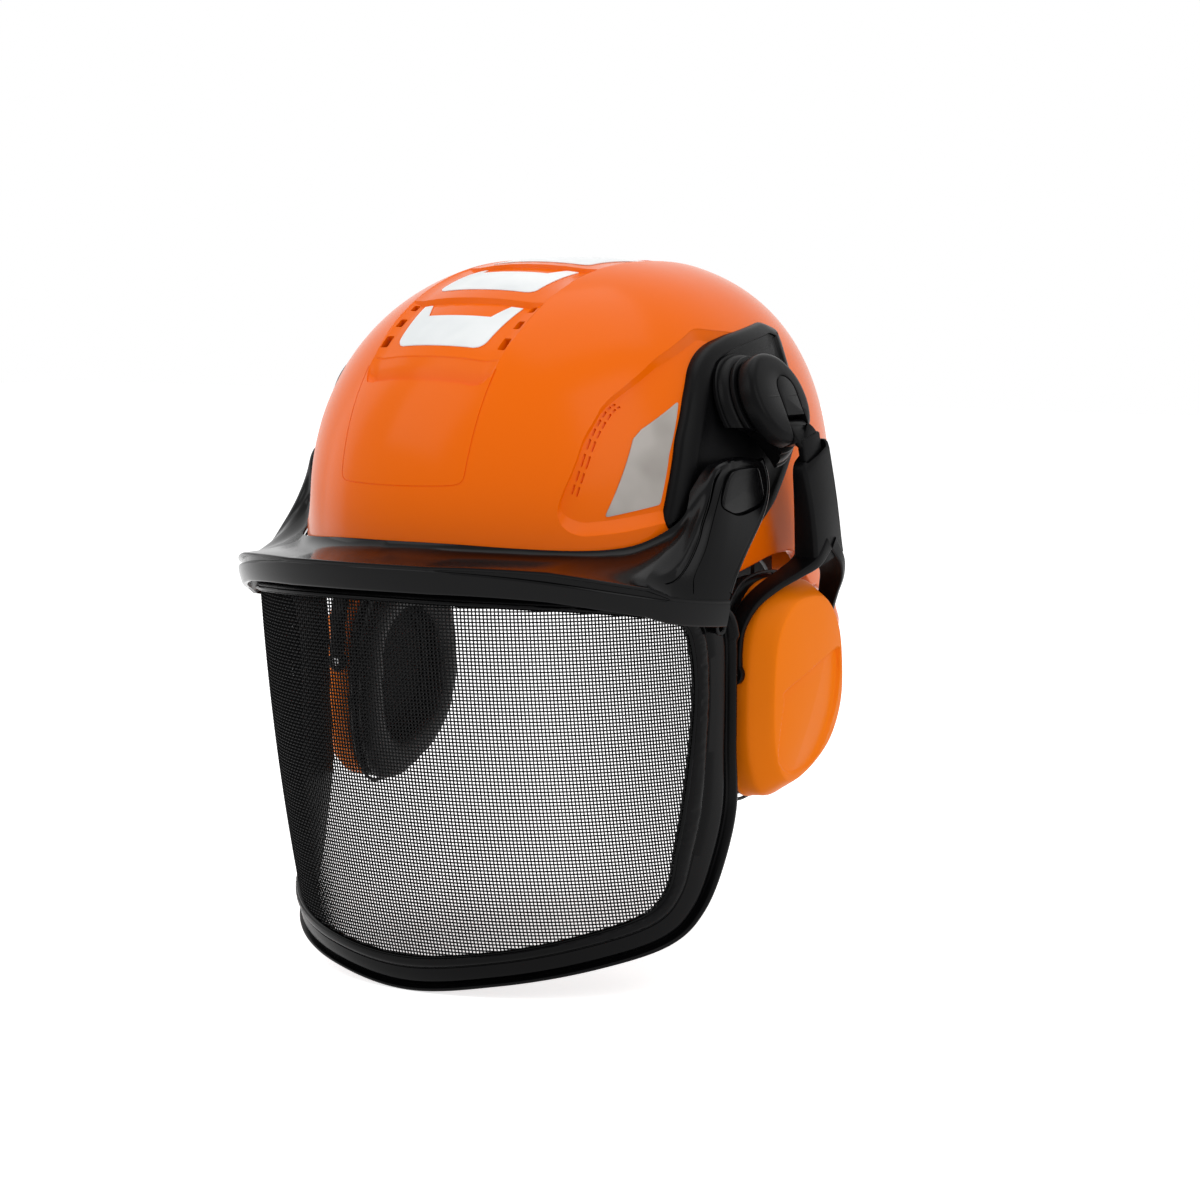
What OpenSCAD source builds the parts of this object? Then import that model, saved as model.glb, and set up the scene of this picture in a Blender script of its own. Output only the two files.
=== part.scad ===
// Forestry helmet: shell, flip-up mesh visor with peak, swing-out ear defenders, cradle.
// Frame: +Z up, the wearer looks along -Y, the wearer's left is +X.
// Origin: centre of the head opening, on the plane of the shell's side walls' foot.

/* [Shell] */
// Half the shell's width at the brim
shell_half_w = 95; // [92:0.5:97]
// Centre to the front of the shell
shell_front = 118; // [116:0.5:120]
// Centre to the back of the shell
shell_rear = 122.5; // [120:0.5:125]
// Height of the crown above the origin
shell_h = 111; // [109:0.5:113]
// Wall of the shell
shell_wall = 3.6; // [3.2:0.2:4]
// Depth of the side recesses
recess_depth = 2.2; // [1.6:0.2:2.4]
// Depth of the crest channel
channel_depth = 2.4; // [1.6:0.2:2.6]

/* [Visor] */
// Width of the mesh cells
mesh_cell = 18; // [12:1:20]
// Thickness of the peak moulding
peak_wall = 2.8; // [2.4:0.2:3.2]
// Height of the skirt round the peak
skirt_h = 10.5; // [8:0.5:12]

/* [Ear defenders] */
// How far the left cup is drawn out on its arm
left_drop = 0; // [0:1:2]
// How far the right cup is drawn out on its arm
right_drop = 9; // [0:1:12]
// Thickness of the ear cushions
cushion_t = 13; // [10:0.5:13]

/* [Hidden] */
$fn = 48;
eps = 0.01;

// ---- dome of the shell ----
dome_power = 2.5;
front_power = 2.05;
rear_power = 2.25;
crown_shift = 12;
dome_sides = 64;
dome_rows = 13;
nape_flare = 13;

function unit(v) = v / norm(v);
function flat(l) = [for (a = l) for (b = a) b];
function mix(a, b, t) = a + (b - a) * t;
function ease(t) = let (k = min(1, max(0, t))) k * k * (3 - 2 * k);

// Share of the plan outline that the dome keeps at height z
function dome_scale(z, off) = pow(max(0, 1 - pow(max(0, z) / (shell_h + off), dome_power)), 1 / dome_power);
function plan_radius(a, off) =
    let (rear = sin(a) > 0, m = rear ? rear_power : front_power, l = rear ? shell_rear : shell_front)
    pow(pow(abs(cos(a)) / (shell_half_w + off), m) + pow(abs(sin(a)) / (l + off), m), -1 / m);
function flare(a, z) = nape_flare * pow(max(0, (-z - 14) / 34), 2) * pow(max(0, sin(a)), 3);
function dome_at(a, k, z, off) =
    let (r = plan_radius(a, off) * k + flare(a, z))
    [r * cos(a), r * sin(a) + crown_shift * pow(max(0, z) / (shell_h + off), 2), z];
function dome_point(a, z, off) = dome_at(a, dome_scale(z, off), z, off);
// Ring of the dome at the angle psi above the brim
function dome_ring(psi, off) =
    let (k = pow(cos(psi), 2 / dome_power), z = (shell_h + off) * pow(sin(psi), 2 / dome_power))
    [for (i = [0:dome_sides - 1]) dome_at(i * 360 / dome_sides, k, z, off)];

// Height of the shell's lower edge: low brow, raised ears, low nape
function rim_z(a) =
    let (f = a > 180 ? abs(270 - a) : abs(a + 90), g = min(f, 360 - f))
    g < 60 ? -9 - 5 * ease((g - 30) / 30)
    : g < 100 ? -14 + 8 * ease((g - 68) / 30)
    : g < 118 ? -6 - 16 * ease((g - 101) / 14)
    : -22 - 28 * ease((g - 112) / 48);
function rim_ring(t, off) = [for (i = [0:dome_sides - 1])
    let (a = i * 360 / dome_sides) dome_at(a, 1, mix(rim_z(a), 0, t), off)];

// The side of the dome above a point given by its place in the Y-Z plane
function side_point(p, off) =
    let (z = p[1], k = dome_scale(z, off), y = p[0] - crown_shift * pow(max(0, z) / (shell_h + off), 2),
         m = y > 0 ? rear_power : front_power, l = (y > 0 ? shell_rear : shell_front) + off)
    [(shell_half_w + off) * pow(max(0, pow(k, m) - pow(abs(y) / l, m)), 1 / m), p[0], z];
// The top of the dome above a point of the X-Y plane
function crown_z(x, y, off, z) =
    let (yy = y - crown_shift * pow(z / (shell_h + off), 2),
         m = yy > 0 ? rear_power : front_power, l = (yy > 0 ? shell_rear : shell_front) + off,
         k = pow(pow(abs(x) / (shell_half_w + off), m) + pow(abs(yy) / l, m), 1 / m))
    (shell_h + off) * pow(max(0, 1 - pow(k, dome_power)), 1 / dome_power);
function crown_point(x, y, off) =
    let (z1 = crown_z(x, y, off, 90), z2 = crown_z(x, y, off, z1), z3 = crown_z(x, y, off, z2),
         z4 = crown_z(x, y, off, z3))
    [x, y, crown_z(x, y, off, z4)];

// ---- general solids ----
// Solid through a stack of closed rings, its two ends closed
module loft(rings) {
    m = len(rings);
    n = len(rings[0]);
    polyhedron(
        points = flat(rings),
        faces = concat(
            [[for (j = [0:n - 1]) n - 1 - j]],
            flat([for (i = [0:m - 2], j = [0:n - 1])
                let (a = i * n + j, b = i * n + (j + 1) % n)
                [[a, b, b + n], [a, b + n, a + n]]]),
            [[for (j = [0:n - 1]) (m - 1) * n + j]]),
        convexity = 6);
}

// Solid through a closed circle of closed sections
module ring_loft(loops) {
    m = len(loops);
    n = len(loops[0]);
    polyhedron(
        points = flat(loops),
        faces = flat([for (i = [0:m - 1], j = [0:n - 1])
            let (i2 = (i + 1) % m, a = i * n + j, b = i * n + (j + 1) % n,
                 c = i2 * n + (j + 1) % n, d = i2 * n + j)
            [[a, b, c], [a, c, d]]]),
        convexity = 6);
}

// Plate between two open grids of points that face each other, its ends closed from face to face
module plate(front, back) {
    m = len(front);
    n = len(front[0]);
    k = 2 * n;
    o = (m - 1) * k;
    polyhedron(
        points = flat([for (i = [0:m - 1]) concat(front[i], [for (j = [n - 1:-1:0]) back[i][j]])]),
        faces = concat(
            flat([for (i = [0:m - 2], j = [0:k - 1])
                let (a = i * k + j, b = i * k + (j + 1) % k)
                [[a, b, b + k], [a, b + k, a + k]]]),
            flat([for (j = [0:n - 2])
                let (c = k - 2 - j)
                [[c + 1, c, j + 1], [c + 1, j + 1, j], [o + j, o + j + 1, o + c], [o + j, o + c, o + c + 1]]])),
        convexity = 6);
}

// Smooth closed outline through a few points, steps points to each span
function spline4(p, t) = 0.5 * ((2 * p[1]) + (p[2] - p[0]) * t + (2 * p[0] - 5 * p[1] + 4 * p[2] - p[3]) * t * t
    + (3 * p[1] - p[0] - 3 * p[2] + p[3]) * t * t * t);
function smooth_closed(pts, steps) = let (n = len(pts)) [for (i = [0:n - 1], s = [0:steps - 1])
    spline4([pts[(i + n - 1) % n], pts[i], pts[(i + 1) % n], pts[(i + 2) % n]], s / steps)];
function smooth_open(pts, steps) = let (n = len(pts)) concat(
    [for (i = [0:n - 2], s = [0:steps - 1])
        spline4([pts[max(0, i - 1)], pts[i], pts[i + 1], pts[min(n - 1, i + 2)]], s / steps)],
    [pts[n - 1]]);
function mean(l, i = 0) = i == len(l) - 1 ? l[i] / len(l) : l[i] / len(l) + mean_rest(l, i + 1);
function mean_rest(l, i) = i == len(l) - 1 ? l[i] / len(l) : l[i] / len(l) + mean_rest(l, i + 1);
function grow(pts, k, c) = [for (p = pts) c + (p - c) * k];

// Flat bar swept along a path: stations of [point, half width along X, half thickness], in the Y-Z plane
function bar_sections(st) = [for (i = [0:len(st) - 1])
    let (a = st[max(0, i - 1)][0], b = st[min(len(st) - 1, i + 1)][0], d = unit([0, b[1] - a[1], b[2] - a[2]]),
         n = [0, -d[2], d[1]], p = st[i][0], w = [st[i][1], 0, 0], t = n * st[i][2])
    [p - w - t, p + w - t, p + w + t, p - w + t]];

// ---- shell ----
// Outline of the side recess and of the adaptor plate in it, in the Y-Z plane
recess_line = [[-54, 13.5], [-74, 9.5], [-87, 8], [-91.5, 14.5], [-90, 21], [-80.5, 41], [-71, 53],
    [-62.6, 58.5], [-44, 68.5], [-16, 79], [10, 76], [20, 50], [10, 20], [-40, 10]];
adapter_line = [[-57, 8], [-53, 22], [-46.5, 41], [-38, 56], [-30, 67], [-23, 72.5], [-15, 76], [-1, 79.5],
    [17, 82], [32, 84], [43, 81], [37, 70], [33, 52], [26, 38], [16, 27], [4, 14], [-9, 4.5], [-32, -1]];
// Edge of the sunk panel within the adaptor's border
well_line = [[-49.5, 13], [-46, 23], [-39.5, 40], [-31.5, 53.5], [-24, 62.5], [-14, 69], [0, 73.5], [17, 76],
    [30, 77.5], [34, 74.5], [29.5, 63], [25, 50], [15, 35], [3, 23], [-10, 13], [-30, 7]];
decal_line = [[-40, 55], [-50, 35.5], [-56.3, 16.5], [-77, 12.5], [-63, 41.5], [-59, 45]];

// Solid on the side of the dome under an outline, between two offsets
module side_patch(line, out, in, inset = 1, bevel = 0, full = 1) {
    c = [(line[0][0] + line[floor(len(line) / 2)][0]) / 2, (line[0][1] + line[floor(len(line) / 2)][1]) / 2];
    n = len(line);
    ring = function (k, off) [for (p = line) side_point(c + (p - c) * k, off)];
    loft(concat(
        [[for (p = line) side_point(c + (p - c) * 0.02, in)]],
        [for (k = [0.35, 0.7, full]) ring(k, in)],
        [ring(full, out - bevel)],
        [for (k = [inset, 0.7, 0.35]) ring(k, out)],
        [[for (p = line) side_point(c + (p - c) * 0.02, out)]]));
}

module shell_body() {
    loft(concat(
        [dome_ring(88.5, 0)],
        [for (i = [dome_rows - 1:-1:0]) dome_ring(i * 87 / dome_rows, 0)],
        [for (t = [0.6, 0.25, 0]) rim_ring(t, 0)],
        [for (t = [0, 0.25, 0.6]) rim_ring(t, -shell_wall)],
        [for (i = [0:2:dome_rows - 1]) dome_ring(i * 87 / dome_rows, -shell_wall)],
        [dome_ring(88.5, -shell_wall)]));
}

// Channel along the crest: its floor drops along the helmet in tiers, each ending at a low lip
channel_half_w = 27;
channel_steps = [[-98, -1], [-97, 1.9], [-93.5, 2.4], [-90, 2.3], [-89, 1.2], [-75, 1.7], [-61, 2.4], [-60, 0.8],
    [-42, 1.5], [-24, 2.4], [-23, 0.8], [-6, 1.2], [12, 1.6], [30, 2], [46, 2.3], [47, 0.8], [62, 1.2], [78, 1.6],
    [90, 1.4], [97, -1]];
function channel_floor(y) = lookup(y, channel_steps) * channel_depth / 2.4;
module crest_channel() {
    cols = [-1, -0.5, 0, 0.5, 1];
    plate(
        [for (s = channel_steps) [for (x = cols) crown_point(x * (channel_half_w - 4), s[0], -channel_floor(s[0]))]],
        [for (s = channel_steps) [for (x = cols) crown_point(x * channel_half_w, s[0], 6)]]);
}

// Slot through the wall, long way up the slope
module slot(p, tilt, turn, length, width) {
    translate(p) rotate([0, 0, turn]) rotate([tilt, 0, 0])
        hull() {
            translate([0, -8, -length / 2]) rotate([-90, 0, 0]) cylinder(d = width, h = 16, $fn = 12);
            translate([0, -8, length / 2]) rotate([-90, 0, 0]) cylinder(d = width, h = 16, $fn = 12);
        }
}

module side_vents() {
    for (i = [0:5]) {
        t = i / 5;
        p = side_point([mix(-67, -87, t), mix(52, 22, t)], 0);
        slot(p, mix(-36, -24, t), mix(47, 37, t), 3.4, 1.8);
    }
}

module crest_vents() {
    for (p = [[-62, 90], [-72, 84.5], [-81, 78]])
        translate([24.5, p[0], p[1]]) rotate([-48, 0, 0]) hull() {
            cube([4, 3.2, 18], center = true);
            cube([3, 4, 18], center = true);
        }
}

module both_sides() {
    children();
    mirror([1, 0, 0]) children();
}

module shell() {
    color([0.93, 0.42, 0.03])
    difference() {
        shell_body();
        both_sides() side_patch(recess_line, 6, -recess_depth, 0.97, 0.5);
        both_sides() side_patch(adapter_line, 6, -recess_depth - 0.05, 1, 0, 1.008);
        crest_channel();
        both_sides() side_vents();
        both_sides() crest_vents();
    }
}

// ---- side adaptors and decals ----
adapter_out = 1.8;
module side_adapter() {
    color([0.06, 0.06, 0.065])
    difference() {
        side_patch(adapter_line, adapter_out, -recess_depth, 0.93, 1.2);
        side_patch(well_line, 6, 0.6);
        at_hub() translate([0, 0, -cap_h - ring_h - base_h - 0.02]) cylinder(r = base_r + 0.05, h = 30);
        translate([80, visor_axis_y, visor_axis_z]) rotate([0, 90, 0]) cylinder(r = 3.01, h = 30);
    }
}
module side_decal() {
    color([0.55, 0.55, 0.53]) side_patch(decal_line, -recess_depth + 1.4, -recess_depth + 0.72);
}

module crest_decals() {
    color([0.86, 0.88, 0.88])
    for (s = [[-84, -62.5, 19, 22], [-54, -25.5, 22, 22], [-17, 44.5, 22, 22], [52, 78, 22, 19]]) {
        n = 6;
        rows = [for (i = [0:n]) let (y = mix(s[0], s[1], i / n), w = mix(s[2], s[3], i / n)) [for (x = [-w, -11.5, 0, 11.5, w]) [x, y]]];
        plate([for (r = rows) [for (p = r) crown_point(p[0], p[1], -channel_floor(p[1]) + 0.2)]],
            [for (r = rows) [for (p = r) crown_point(p[0], p[1], -channel_floor(p[1]) + 0.8)]]);
    }
}

// ---- hub: the stack of discs that carries an ear defender ----
hub_face = [104.4, -3.6, 56.5];
hub_tilt = 24;
cap_r = 19;
cap_h = 8;
ring_r = 20.5;
ring_h = 2.5;
base_r = 24;
base_h = 5.5;
spindle_r = 5;
visor_axis_y = -25;
visor_axis_z = 21;
visor_sweep = 23.8;

// Places children in the hub's own frame: +Z out along its axis, +Y up the face
module at_hub() {
    translate(hub_face) rotate([0, 90 - hub_tilt, 0]) rotate([0, 0, 90]) children();
}
module visor_clearance() {
    translate([80, visor_axis_y, visor_axis_z]) rotate([0, 90, 0]) cylinder(r = visor_sweep, h = 40);
}
module hub_base() {
    color([0.07, 0.07, 0.075])
    difference() {
        at_hub() translate([0, 0, -cap_h - ring_h - base_h]) difference() {
            union() {
                cylinder(r = base_r, h = 1.3);
                cylinder(r = base_r - 1.1, h = 2.8);
                translate([0, 0, 2.8]) cylinder(r1 = base_r - 1.1, r2 = base_r - 3.4, h = base_h - 2.8);
            }
            translate([0, 0, -1]) cylinder(r = spindle_r + 0.05, h = base_h + 2);
        }
        visor_clearance();
    }
}
module hub_ring() {
    color([0.05, 0.05, 0.055])
    difference() {
        at_hub() translate([0, 0, -cap_h - ring_h]) difference() {
            union() {
                cylinder(r = ring_r, h = ring_h - 1.1);
                translate([0, 0, ring_h - 1.1]) cylinder(r1 = ring_r, r2 = ring_r - 1.2, h = 0.8);
            }
            translate([0, 0, -1]) cylinder(r = spindle_r + 0.05, h = ring_h + 2);
        }
        visor_clearance();
    }
}
// Rotating cap with its spindle and the fork that takes the arm
fork_w = 14;
fork_x = 4;
module hub_cap() {
    color([0.08, 0.08, 0.085])
    at_hub() difference() {
        union() {
            translate([0, 0, -cap_h]) cylinder(r = cap_r, h = cap_h - 2);
            translate([0, 0, -2]) cylinder(r1 = cap_r, r2 = cap_r - 2, h = 2);
            translate([0, 0, -cap_h - ring_h - base_h + 1]) cylinder(r = spindle_r, h = ring_h + base_h);
        }
        translate([fork_x - fork_w / 2, -cap_r - 1, -cap_h - 1]) cube([fork_w, 12, cap_h + 2]);
        translate([fork_x - 9.6, arm_pin_y, arm_pin_z]) rotate([0, 90, 0])
            cylinder(r = pin_r, h = 19.2);
    }
}
arm_pin_y = -12.5;
arm_pin_z = -4;
pin_r = 1.5;
module arm_pin() {
    color([0.6, 0.6, 0.62])
    at_hub() translate([fork_x - 9.5, arm_pin_y, arm_pin_z]) rotate([0, 90, 0])
        cylinder(r = pin_r, h = 19);
}

// ---- arm that hangs from the hub, and the yoke that slides on it ----
lean = 15;
arm_w = 13;
arm_t = 3;
arm_top = [112, 2.2, 41];
arm_len = 44;
module at_arm() {
    translate(arm_top) rotate([lean, 0, 0]) children();
}
module arm() {
    color([0.07, 0.07, 0.075])
    difference() {
        union() {
            at_arm() translate([-arm_t / 2, -arm_w / 2, -arm_len]) cube([arm_t, arm_w, arm_len]);
            at_hub() translate([fork_x - arm_w / 2, 0, 0]) rotate([0, 90, 0]) linear_extrude(arm_w)
                polygon([[-arm_pin_z - 3, -16.5], [-arm_pin_z - 3.6, arm_pin_y + 1],
                    [-arm_pin_z, arm_pin_y + 3.6], [-arm_pin_z + 3.6, arm_pin_y + 1],
                    [-arm_pin_z + 3, -19.5], [-arm_pin_z - 4, -20]]);
        }
        at_hub() translate([-arm_w, arm_pin_y, arm_pin_z]) rotate([0, 90, 0])
            cylinder(r = pin_r + 0.05, h = 2 * arm_w);
    }
}

stem_w = 21;
stem_top = -6;
stem_bottom = -55;
socket_foot = -49;
cup_axis_x = 98.5;
cup_axis_z = -50;
front_leg_y = -29.4;
rear_leg_y = 35.4;
leg_t = 1.3;
front_leg = [[[110, 14, -3], 6, leg_t], [[109.6, 6, -9], 6, leg_t], [[107.6, -4, -12.8], 5.4, leg_t],
    [[104.6, -14.4, -17.2], 4.6, leg_t], [[101.2, -23, -23.6], 3.8, leg_t], [[99, -28.2, -32.4], 3.4, leg_t],
    [[cup_axis_x, front_leg_y, -41], 3.2, leg_t], [[cup_axis_x, front_leg_y, -54], 3.2, leg_t]];
rear_leg = [[[110, 15, -3], 6, leg_t], [[109.6, 23, -9], 5.8, leg_t], [[107.6, 28.6, -15], 5, leg_t],
    [[104, 32.4, -22], 4.2, leg_t], [[101, 34.6, -30], 3.6, leg_t], [[99, rear_leg_y, -38], 3.4, leg_t],
    [[cup_axis_x, rear_leg_y, -45], 3.2, leg_t], [[cup_axis_x, rear_leg_y, -54], 3.2, leg_t]];
module yoke() {
    color([0.08, 0.08, 0.085])
    difference() {
        union() {
            at_arm() translate([0, stem_w / 2, 0]) rotate([90, 0, 0]) linear_extrude(stem_w)
                polygon([[-8, stem_bottom], [4, stem_bottom], [4, stem_top - 3], [3, stem_top - 1], [1, stem_top],
                    [-3, stem_top], [-4.5, -22], [-6.5, -38], [-8, -50]]);
            loft(bar_sections(front_leg));
            loft(bar_sections(rear_leg));
            for (y = [front_leg_y, rear_leg_y]) translate([cup_axis_x, y - leg_t, cup_axis_z])
                rotate([-90, 0, 0]) cylinder(r = 4.2, h = 2 * leg_t);
        }
        at_arm() translate([-arm_t / 2 - 0.05, -arm_w / 2 - 0.05, socket_foot])
            cube([arm_t + 0.1, arm_w + 0.1, 60]);
        // the socket's mouth, and the arch between the legs
        at_arm() translate([-2, -7.6, stem_top - 3]) cube([4.8, 15.2, 10]);
        translate([80, 14.6, -20]) rotate([0, 90, 0]) linear_extrude(50)
            polygon([for (a = [0:10:350]) [9 * cos(a), 11 * sin(a)]]);
        translate([cup_axis_x, -60, cup_axis_z]) rotate([-90, 0, 0]) cylinder(r = 2.05, h = 130);
    }
}

// ---- ear cup ----
cup_outline = smooth_closed([[5, -15], [20, -18], [30.5, -31], [34, -50], [32.5, -68], [23, -84],
    [6, -95], [-11, -100], [-21, -96], [-27.5, -80], [-28, -55], [-24.5, -33], [-12.5, -18.5]], 3);
cup_mid = [3, -57];
cup_rim_x = 94;
cup_face_x = 114;
front_flat = front_leg_y + leg_t + 0.3;
rear_flat = rear_leg_y - leg_t - 0.3;
function cup_ring(k, x) = [for (p = cup_outline) let (q = cup_mid + (p - cup_mid) * k)
    [x, min(rear_flat, max(front_flat, q[0])), q[1]]];
// Lower panel of the face, sunk a little
panel_line = [[-14, -56], [21, -45], [25, -49], [24, -60], [18, -73], [7, -84], [-8, -88], [-16, -86], [-19, -80],
    [-17, -64]];
module cup_shell() {
    color([0.95, 0.46, 0.09])
    difference() {
        cup_body();
        translate([cup_face_x - 0.3, 0, 0]) rotate([90, 0, 90]) linear_extrude(6)
            offset(r = 1.5) offset(delta = -1.5) polygon(panel_line);
        translate([cup_axis_x, front_leg_y, cup_axis_z]) rotate([-90, 0, 0]) cylinder(r = 2.06, h = 6);
        translate([cup_axis_x, rear_leg_y - 6, cup_axis_z]) rotate([-90, 0, 0]) cylinder(r = 2.06, h = 6);
    }
}
module cup_body() {
    loft([cup_ring(0.3, cup_face_x - 2), cup_ring(0.72, cup_face_x - 3), cup_ring(0.86, cup_rim_x + 10),
        cup_ring(0.93, cup_rim_x), cup_ring(1, cup_rim_x), cup_ring(0.99, cup_rim_x + 9.5),
        cup_ring(0.84, cup_face_x - 2), cup_ring(0.7, cup_face_x), cup_ring(0.35, cup_face_x + 1)]);
}
// Points of a cup outline as a flat polygon in an upright plane
module cup_slab(k, x, h) {
    translate([x, 0, 0]) rotate([90, 0, 90]) linear_extrude(h)
        polygon([for (p = cup_outline) let (q = cup_mid + (p - cup_mid) * k)
            [min(rear_flat, max(front_flat, q[0])), q[1]]]);
}
module cup_plate() {
    color([0.1, 0.1, 0.1])
    difference() {
        cup_slab(0.99, cup_rim_x - 2.5, 2.5);
        cup_slab(0.6, cup_rim_x - 5, 10);
    }
}
module cup_foam() {
    color([0.2, 0.2, 0.2]) cup_slab(0.8, cup_rim_x + 0.2, 5);
}
module cushion() {
    color([0.05, 0.05, 0.05]) {
        x1 = cup_rim_x - 2.5;
        x0 = x1 - cushion_t + 2.5;
        loops = [for (s = [[0.62, x1], [0.6, x0 + 3], [0.68, x0], [0.92, x0], [1.035, x0 + 3.5], [1.035, x1]])
            [for (p = cup_outline) let (q = cup_mid + (p - cup_mid) * s[0]) [s[1], q[0], q[1]]]];
        ring_loft(loops);
    }
}
module cup_pins() {
    color([0.5, 0.5, 0.5]) {
        translate([cup_axis_x, front_leg_y - leg_t - 0.6, cup_axis_z]) rotate([-90, 0, 0])
            cylinder(r = 2, h = 2 * leg_t + 2.6);
        translate([cup_axis_x, rear_leg_y - leg_t - 2, cup_axis_z]) rotate([-90, 0, 0])
            cylinder(r = 2, h = 2 * leg_t + 2.6);
    }
}

// ---- visor carrier: peak, skirt and arms ----
peak_w = 110;
peak_l = 103.5;
peak_y = -40;
function peak_edge(t) = [peak_w * sin(t), peak_y - peak_l * cos(t), -2.8 - 16 * pow(abs(sin(t)), 3)];
function seat(f, z) = dome_point(270 + f, z, 1.9);
// Wall of the peak along a row: a thin lip over the shell, the full wall from there on, with the inside
// corner of the skirt set lower than the outside one
function peak_t(j) = peak_wall * [0.25, 0.5, 0.85, 1, 1, 0.9, 1, 1][j];
function peak_drop(j) = j == 6 ? -2 : 0;
// Stations of the right-hand half: [top, pull from the top, pull to the edge, edge angle]
carrier_stations = [
    [seat(0, 3.5), [0, -2, -4], [0, 14, 0.8], 0],
    [seat(12, 3.2), [0.4, -2, -4], [-3, 13.5, 0.8], 12],
    [seat(24, 1.8), [0.8, -1.8, -4], [-5, 12, 0.8], 25],
    [seat(35, 0.6), [1.2, -1.6, -4], [-7, 10, 1], 37],
    [seat(44, 0.8), [2, -1.4, -4.5], [-8, 8, 1.5], 47],
    [seat(51, 3.2), [2.6, -1, -5.5], [-8, 6, 3], 55],
    [[88.8, -56, 9.5], [2.5, -1, -7], [-7, 5, 5], 61],
    [[92.4, -51, 17], [2.5, -1, -9], [-6, 6, 7], 66],
    [[96.2, -46.5, 24.5], [2, -1, -12], [-4, 8, 10], 70],
    [[98.6, -41.5, 30.5], [1.5, 0, -16], [-2.5, 10, 14], 73.5],
    [[100, -34, 33], [0.6, 0, -18], [-2, 12, 17], 77],
    [[100, -24, 33.5], [0.6, 0.5, -20], [-2, 13, 20], 80.5],
    [[100, -13.5, 32.5], [0.6, 1, -22], [-2, 12, 22], 84]];
function bezier(a, b, c, d, t) = a * pow(1 - t, 3) + 3 * b * pow(1 - t, 2) * t + 3 * c * (1 - t) * t * t + d * pow(t, 3);
function carrier_row(s) = let (e = peak_edge(s[3])) concat(
    [for (t = [0, 0.15, 0.35, 0.6, 0.85, 1]) bezier(s[0], s[0] + s[1], e + s[2], e, t)],
    [e + [0, 0, -2.5] + unit([e[0], e[1] - peak_y, 0]) * 0.5,
        e + [0, 0, -skirt_h] - unit([e[0], e[1] - peak_y, 0]) * 1.2]);
function mirror_point(p) = [-p[0], p[1], p[2]];
carrier_rows = [for (s = carrier_stations) carrier_row(s)];
// The stations are joined by smooth curves, column by column
carrier_half = let (cols = [for (j = [0:7]) smooth_open([for (r = carrier_rows) r[j]], 2)])
    [for (i = [0:len(cols[0]) - 1]) [for (j = [0:7]) cols[j][i]]];
carrier_grid = concat(
    [for (i = [len(carrier_half) - 1:-1:1]) [for (p = carrier_half[i]) mirror_point(p)]],
    carrier_half);
// Unit normal of a grid at one of its points, towards the inside of the moulding
function grid_normal(g, i, j) =
    let (m = len(g), n = len(g[0]),
         du = g[min(m - 1, i + 1)][j] - g[max(0, i - 1)][j],
         dv = g[i][min(n - 1, j + 1)] - g[i][max(0, j - 1)])
    unit(cross(du, dv));
function inner_grid(g) = [for (i = [0:len(g) - 1]) [for (j = [0:len(g[0]) - 1])
    g[i][j] + grid_normal(g, i, j) * (abs(i - (len(g) - 1) / 2) > 14 && j < 5 ? peak_wall : peak_t(j))
        + [0, 0, peak_drop(j)]]];

module visor_carrier() {
    color([0.05, 0.05, 0.055])
    difference() {
        plate(inner_grid(carrier_grid), carrier_grid);
        both_sides() translate([90, visor_axis_y, visor_axis_z]) rotate([0, 90, 0]) cylinder(r = 3.05, h = 30);
        both_sides() translate([cover_x, 0, 0]) rotate([90, 0, 90]) linear_extrude(12)
            offset(delta = 0.1) polygon(cover_line);
    }
}
module visor_pin() {
    color([0.5, 0.5, 0.52])
    translate([93.2, visor_axis_y, visor_axis_z]) rotate([0, 90, 0]) cylinder(r = 3, h = 7.3);
}
cover_x = 100.9;
cover_line = [[-36.5, 30], [-33, 31.5], [-15, 31.5], [-12, 29], [-9.5, 17.5], [-11, 14.5], [-28, 8.5],
    [-31.5, 9], [-38.5, 13.5], [-39.5, 17]];
module pivot_cover() {
    color([0.07, 0.07, 0.075])
    translate([cover_x + 0.05, 0, 0]) rotate([90, 0, 90]) linear_extrude(2.5) polygon(cover_line);
}

// ---- mesh visor ----
visor_w = 100;
visor_l = 111;
visor_y = -27.5;
visor_power = 2.13;
visor_top_z = -20;
visor_arc = 105;
lean_top = 5.4;
lean_foot = 16.5;
lean_span = 140;
function lean_back(h) = tan(lean_top) * h + (tan(lean_foot) - tan(lean_top)) / (2 * lean_span) * h * h;
// Point of the visor surface: s is the way round from the middle, z the height, off outwards
function visor_point(s, z, off) =
    let (t = s / visor_arc * 180 / PI,
         r = pow(pow(abs(sin(t)) / (visor_w + off), visor_power)
             + pow(abs(cos(t)) / (visor_l + off), visor_power), -1 / visor_power))
    [r * sin(t), visor_y - r * cos(t) + lean_back(visor_top_z - z), z];
// Half outlines of the frame in the sheet, from the middle of its top round to the middle of its foot
outer_half = [[0, -11], [45, -12], [90, -15], [130, -19], [150, -22.5], [157, -33], [155, -55], [151.5, -78],
    [148, -101], [136, -123.5], [122, -141], [105, -152], [75, -159.5], [38, -166.5], [0, -171.5]];
inner_half = [[0, -17.5], [42, -18.5], [82, -21], [114, -25], [127, -28.5], [131, -38], [131, -55], [126.5, -76],
    [119.5, -99], [113.5, -115], [108, -129], [97, -138.5], [70, -146], [36, -153], [0, -157]];
function whole(half) = let (n = len(half)) smooth_closed(concat(
    [for (i = [n - 1:-1:0]) half[i]], [for (i = [1:n - 2]) [-half[i][0], half[i][1]]]), 2);
outer_line = whole(outer_half);
inner_line = whole(inner_half);
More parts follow.
